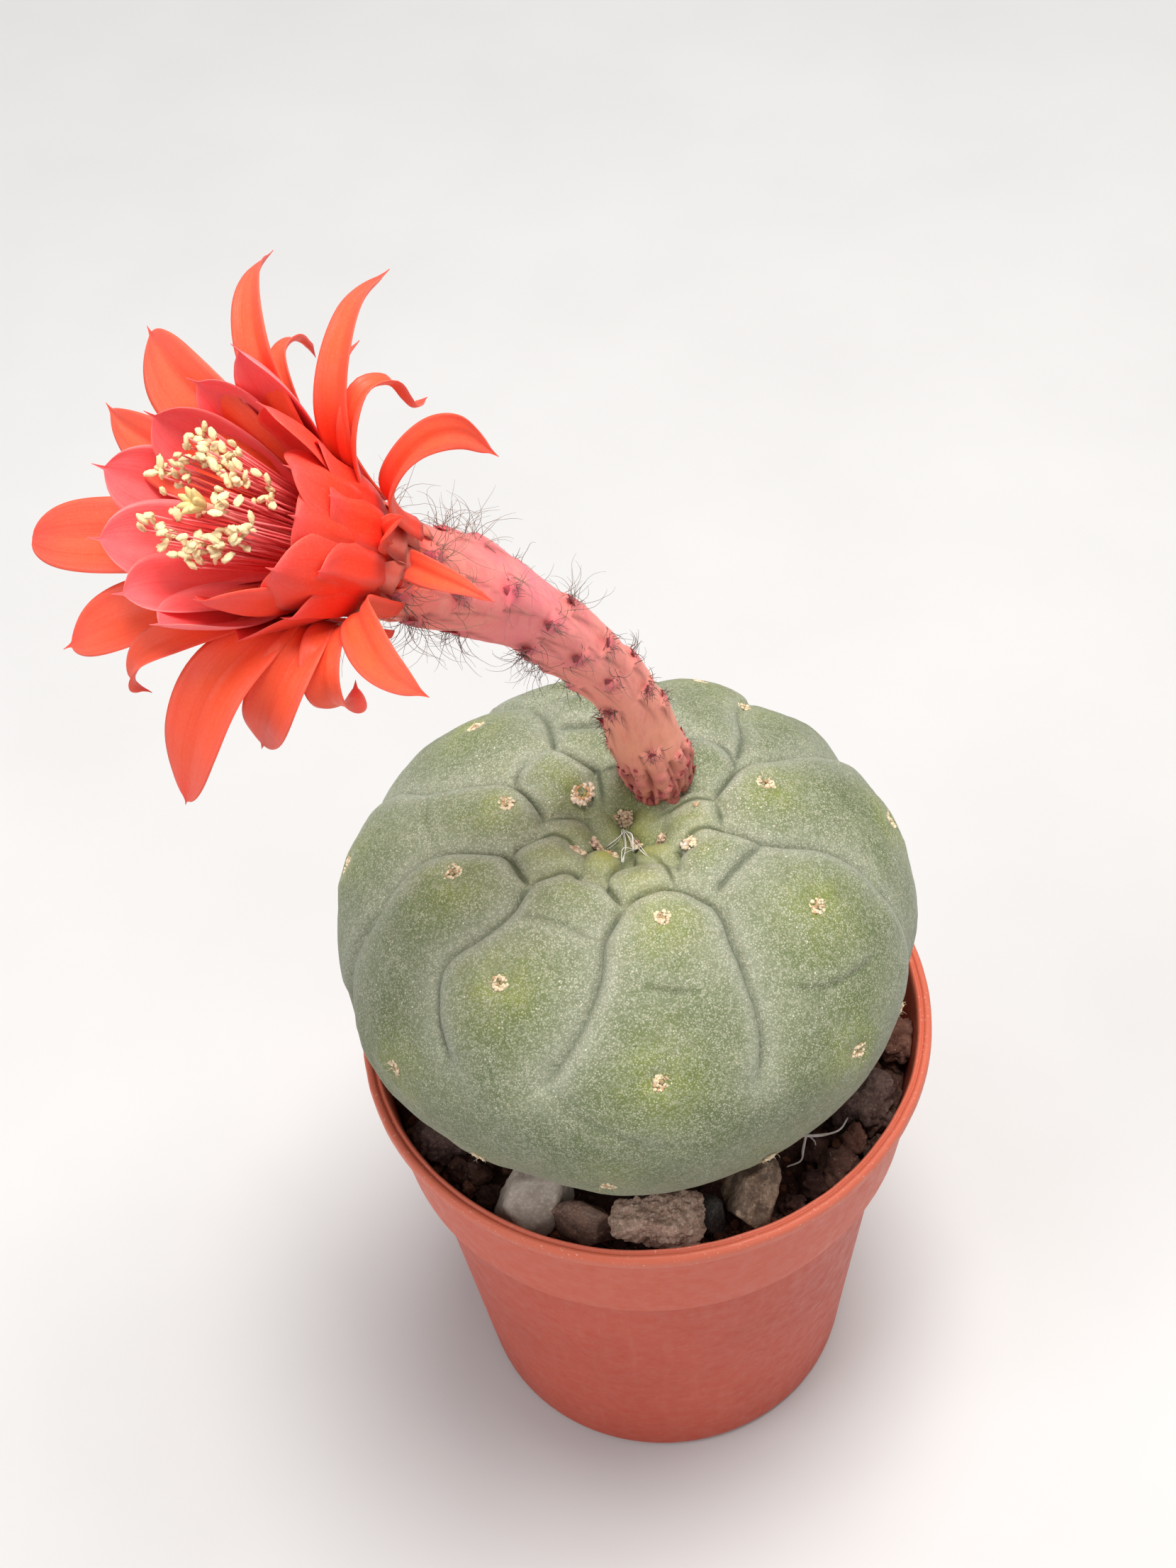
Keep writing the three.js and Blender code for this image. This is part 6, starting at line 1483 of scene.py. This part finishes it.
STN = {
    'stone_grey': {'c': [-13.51, -21.59, 59.6], 's': [4.5, 3.7, 4.2], 'turn': 24, 'seed': 3, 'cuts': 6, 'cut_at': 0.8, 'soft': 0.16, 'rough_': 0.1, 'fine': 0.03, 'box': 0.45},
    'stone_brown_wedge': {'c': [-7.91, -25.02, 59.3], 's': [5.2, 3.2, 3.6], 'turn': -16, 'seed': 205, 'cuts': 12, 'cut_at': 0.5, 'soft': 0.03, 'rough_': 0.14, 'fine': 0.04, 'tilt': (10, -15)},
    'stone_pink_granular': {'c': [-0.21, -26.91, 62.0], 's': [5.3, 3.6, 3.4], 'turn': 4, 'seed': 108, 'cuts': 9, 'cut_at': 0.62, 'soft': 0.06, 'rough_': 0.34, 'fine': 0.14, 'box': 0.1, 'level': 5},
    'stone_banded': {'c': [10.26, -23.55, 60.2], 's': [4.2, 3.6, 4.4], 'turn': 28, 'seed': 11, 'cuts': 9, 'cut_at': 0.6, 'soft': 0.04, 'rough_': 0.12, 'fine': 0.05, 'box': 0.3},
    'stone_dark': {'c': [5.57, -25.26, 59.2], 's': [2.0, 2.2, 3.0], 'turn': 0, 'seed': 14, 'cuts': 7, 'cut_at': 0.62, 'soft': 0.08},
    'clod_right': {'c': [23.54, -11.58, 59.3], 's': [3.4, 4.2, 3.1], 'turn': 20, 'seed': 17, 'cuts': 3, 'cut_at': 0.8, 'soft': 0.3, 'rough_': 0.8, 'fine': 0.22, 'level': 4},
    'clod_left': {'c': [-23.43, -12.56, 58.6], 's': [3.3, 3.4, 2.6], 'turn': -28, 'seed': 20, 'cuts': 3, 'cut_at': 0.8, 'soft': 0.3, 'rough_': 0.8, 'fine': 0.22, 'level': 4},
    'stone_rear': {'c': [6.5, 25.0, 58.9], 's': [4.2, 2.9, 3.3], 'turn': -10, 'seed': 23, 'cuts': 7, 'cut_at': 0.7, 'soft': 0.12, 'rough_': 0.15},
    'clod_rear': {'c': [-14.0, 22.2, 58.3], 's': [3.6, 2.8, 2.7], 'turn': 35, 'seed': 26, 'cuts': 3, 'cut_at': 0.8, 'soft': 0.3, 'rough_': 0.8, 'fine': 0.22, 'level': 4},
}
MATS = {"stone_grey": grey, "stone_brown_wedge": brownw, "stone_pink_granular": pink, "stone_banded": banded, "stone_dark": darks, "clod_right": peat, "clod_left": peat, "stone_rear": rear, "clod_rear": peat}
for nm, kw in STN.items():
    kw = dict(kw)
    stone(nm + "_piece", kw.pop("c"), kw.pop("s"), kw.pop("turn"), kw.pop("seed"), MATS[nm], slot=nm, node=nm, **kw)
# crumbling peat lumps lying on the mix
rs = R3(71)
LUMPS = [
    [28.36, -3.62, 59.2, 2.6],
    [20.17, -19.93, 58.6, 2.4],
    [17.27, -21.57, 58.4, 1.9],
    [24.66, -18.33, 58.4, 2.2],
    [27.8, -12.08, 58.4, 1.7],
    [17.72, -17.22, 58.2, 1.6],
    [22.11, -16.61, 58.6, 1.9],
    [-26.96, -6.24, 58.2, 2.2],
    [-20.77, -16.64, 58.3, 2.2],
    [-25.75, -11.37, 57.9, 1.8],
    [-18.6, -20.43, 58.3, 1.6],
    [-29.1, -0.56, 58.0, 1.9],
    [-21.67, -12.13, 58.6, 1.6],
    [14.72, -23.82, 58.3, 1.5],
]
i3V, i3F = ico(3)
for i in range(60):
    a = rs.rand() * 2 * math.pi
    r = 24.5 + 4.2 * rs.rand()
    x, y = r * math.cos(a), r * math.sin(a)
    if y < -12 and abs(x) < 19:
        continue
    LUMPS.append([x, y, 57.6 + 0.5 * rs.rand(), 0.9 + 1.5 * rs.rand() ** 1.6])
gb = Bag()
for k, (x, y, z, s) in enumerate(LUMPS):
    q, _ = np.linalg.qr(rs.normal(size=(3, 3)))
    W = i3V * np.array([1.0, 0.7 + 0.3 * rs.rand(), 0.62 + 0.3 * rs.rand()]) @ q
    W = W * (1 + 0.34 * vnoise(i3V * 1.7 + 9.1 * k, 0.8, 5) + 0.26 * vnoise(i3V * 3.4 + 3.3 * k, 0.9, 6) + 0.15 * vnoise(i3V * 7 + k, 0.9, 7))[:, None] * s
    P_ = np.array([x, y, z]) + W
    rr = np.hypot(P_[:, 0], P_[:, 1])
    kk = np.minimum(1, (pot_inner(np.minimum(P_[:, 2], 61.5)) - 0.1) / np.maximum(rr, 1e-6))
    P_[:, 0] *= kk
    P_[:, 1] *= kk
    gb.add(P_, i3F, np.array([[1.0, 1.0, 1.0], [1.7, 1.55, 1.5], [2.6, 2.3, 2.2], [0.8, 0.75, 0.8]][rs.randint(4)]) * (0.8 + 0.5 * rs.rand()))
gb.make("peat_lumps", soil_m.m, slot="potting_soil")

# pale dried rootlets
wm = Mat("rootlets", 0.8)
wm.color(wm.mix(wm.ramp(wm.noise(1.8, 4, 0.6), [(0.4, 0.0), (0.68, 0.8)]), (0.86, 0.80, 0.76), (0.66, 0.52, 0.42)))
wm.bump(wm.noise(4.0, 4, 0.7), 0.5, 0.1)
ROOTS = [
    (0.21, [[14.68, -16.01, 60.6], [16.72, -16.67, 60.8], [18.6, -16.72, 60.8], [20.45, -16.22, 60.8], [21.59, -14.48, 60.4]]),
    (0.18, [[16.73, -16.6, 60.7], [16.27, -18.12, 60.4], [15.92, -19.29, 60.0], [14.33, -19.74, 59.6]]),
    (0.1, [[16.98, -16.47, 60.6], [17.69, -17.28, 60.2], [17.42, -18.4, 59.7]]),
]
rb = Bag()
for r0, pts in ROOTS:
    L = catmull(pts, 26)
    rad = r0 * (1 - 0.55 * np.linspace(0, 1, 27)) * (1 + 0.22 * vnoise(L, 0.9, 14))
    v, f = tube(L, rad, 8)
    rb.add(v, f)
rb.make("dried_rootlets", wm.m, slot="potting_soil")

# ------------------------------------------------------------------ finish
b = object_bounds()
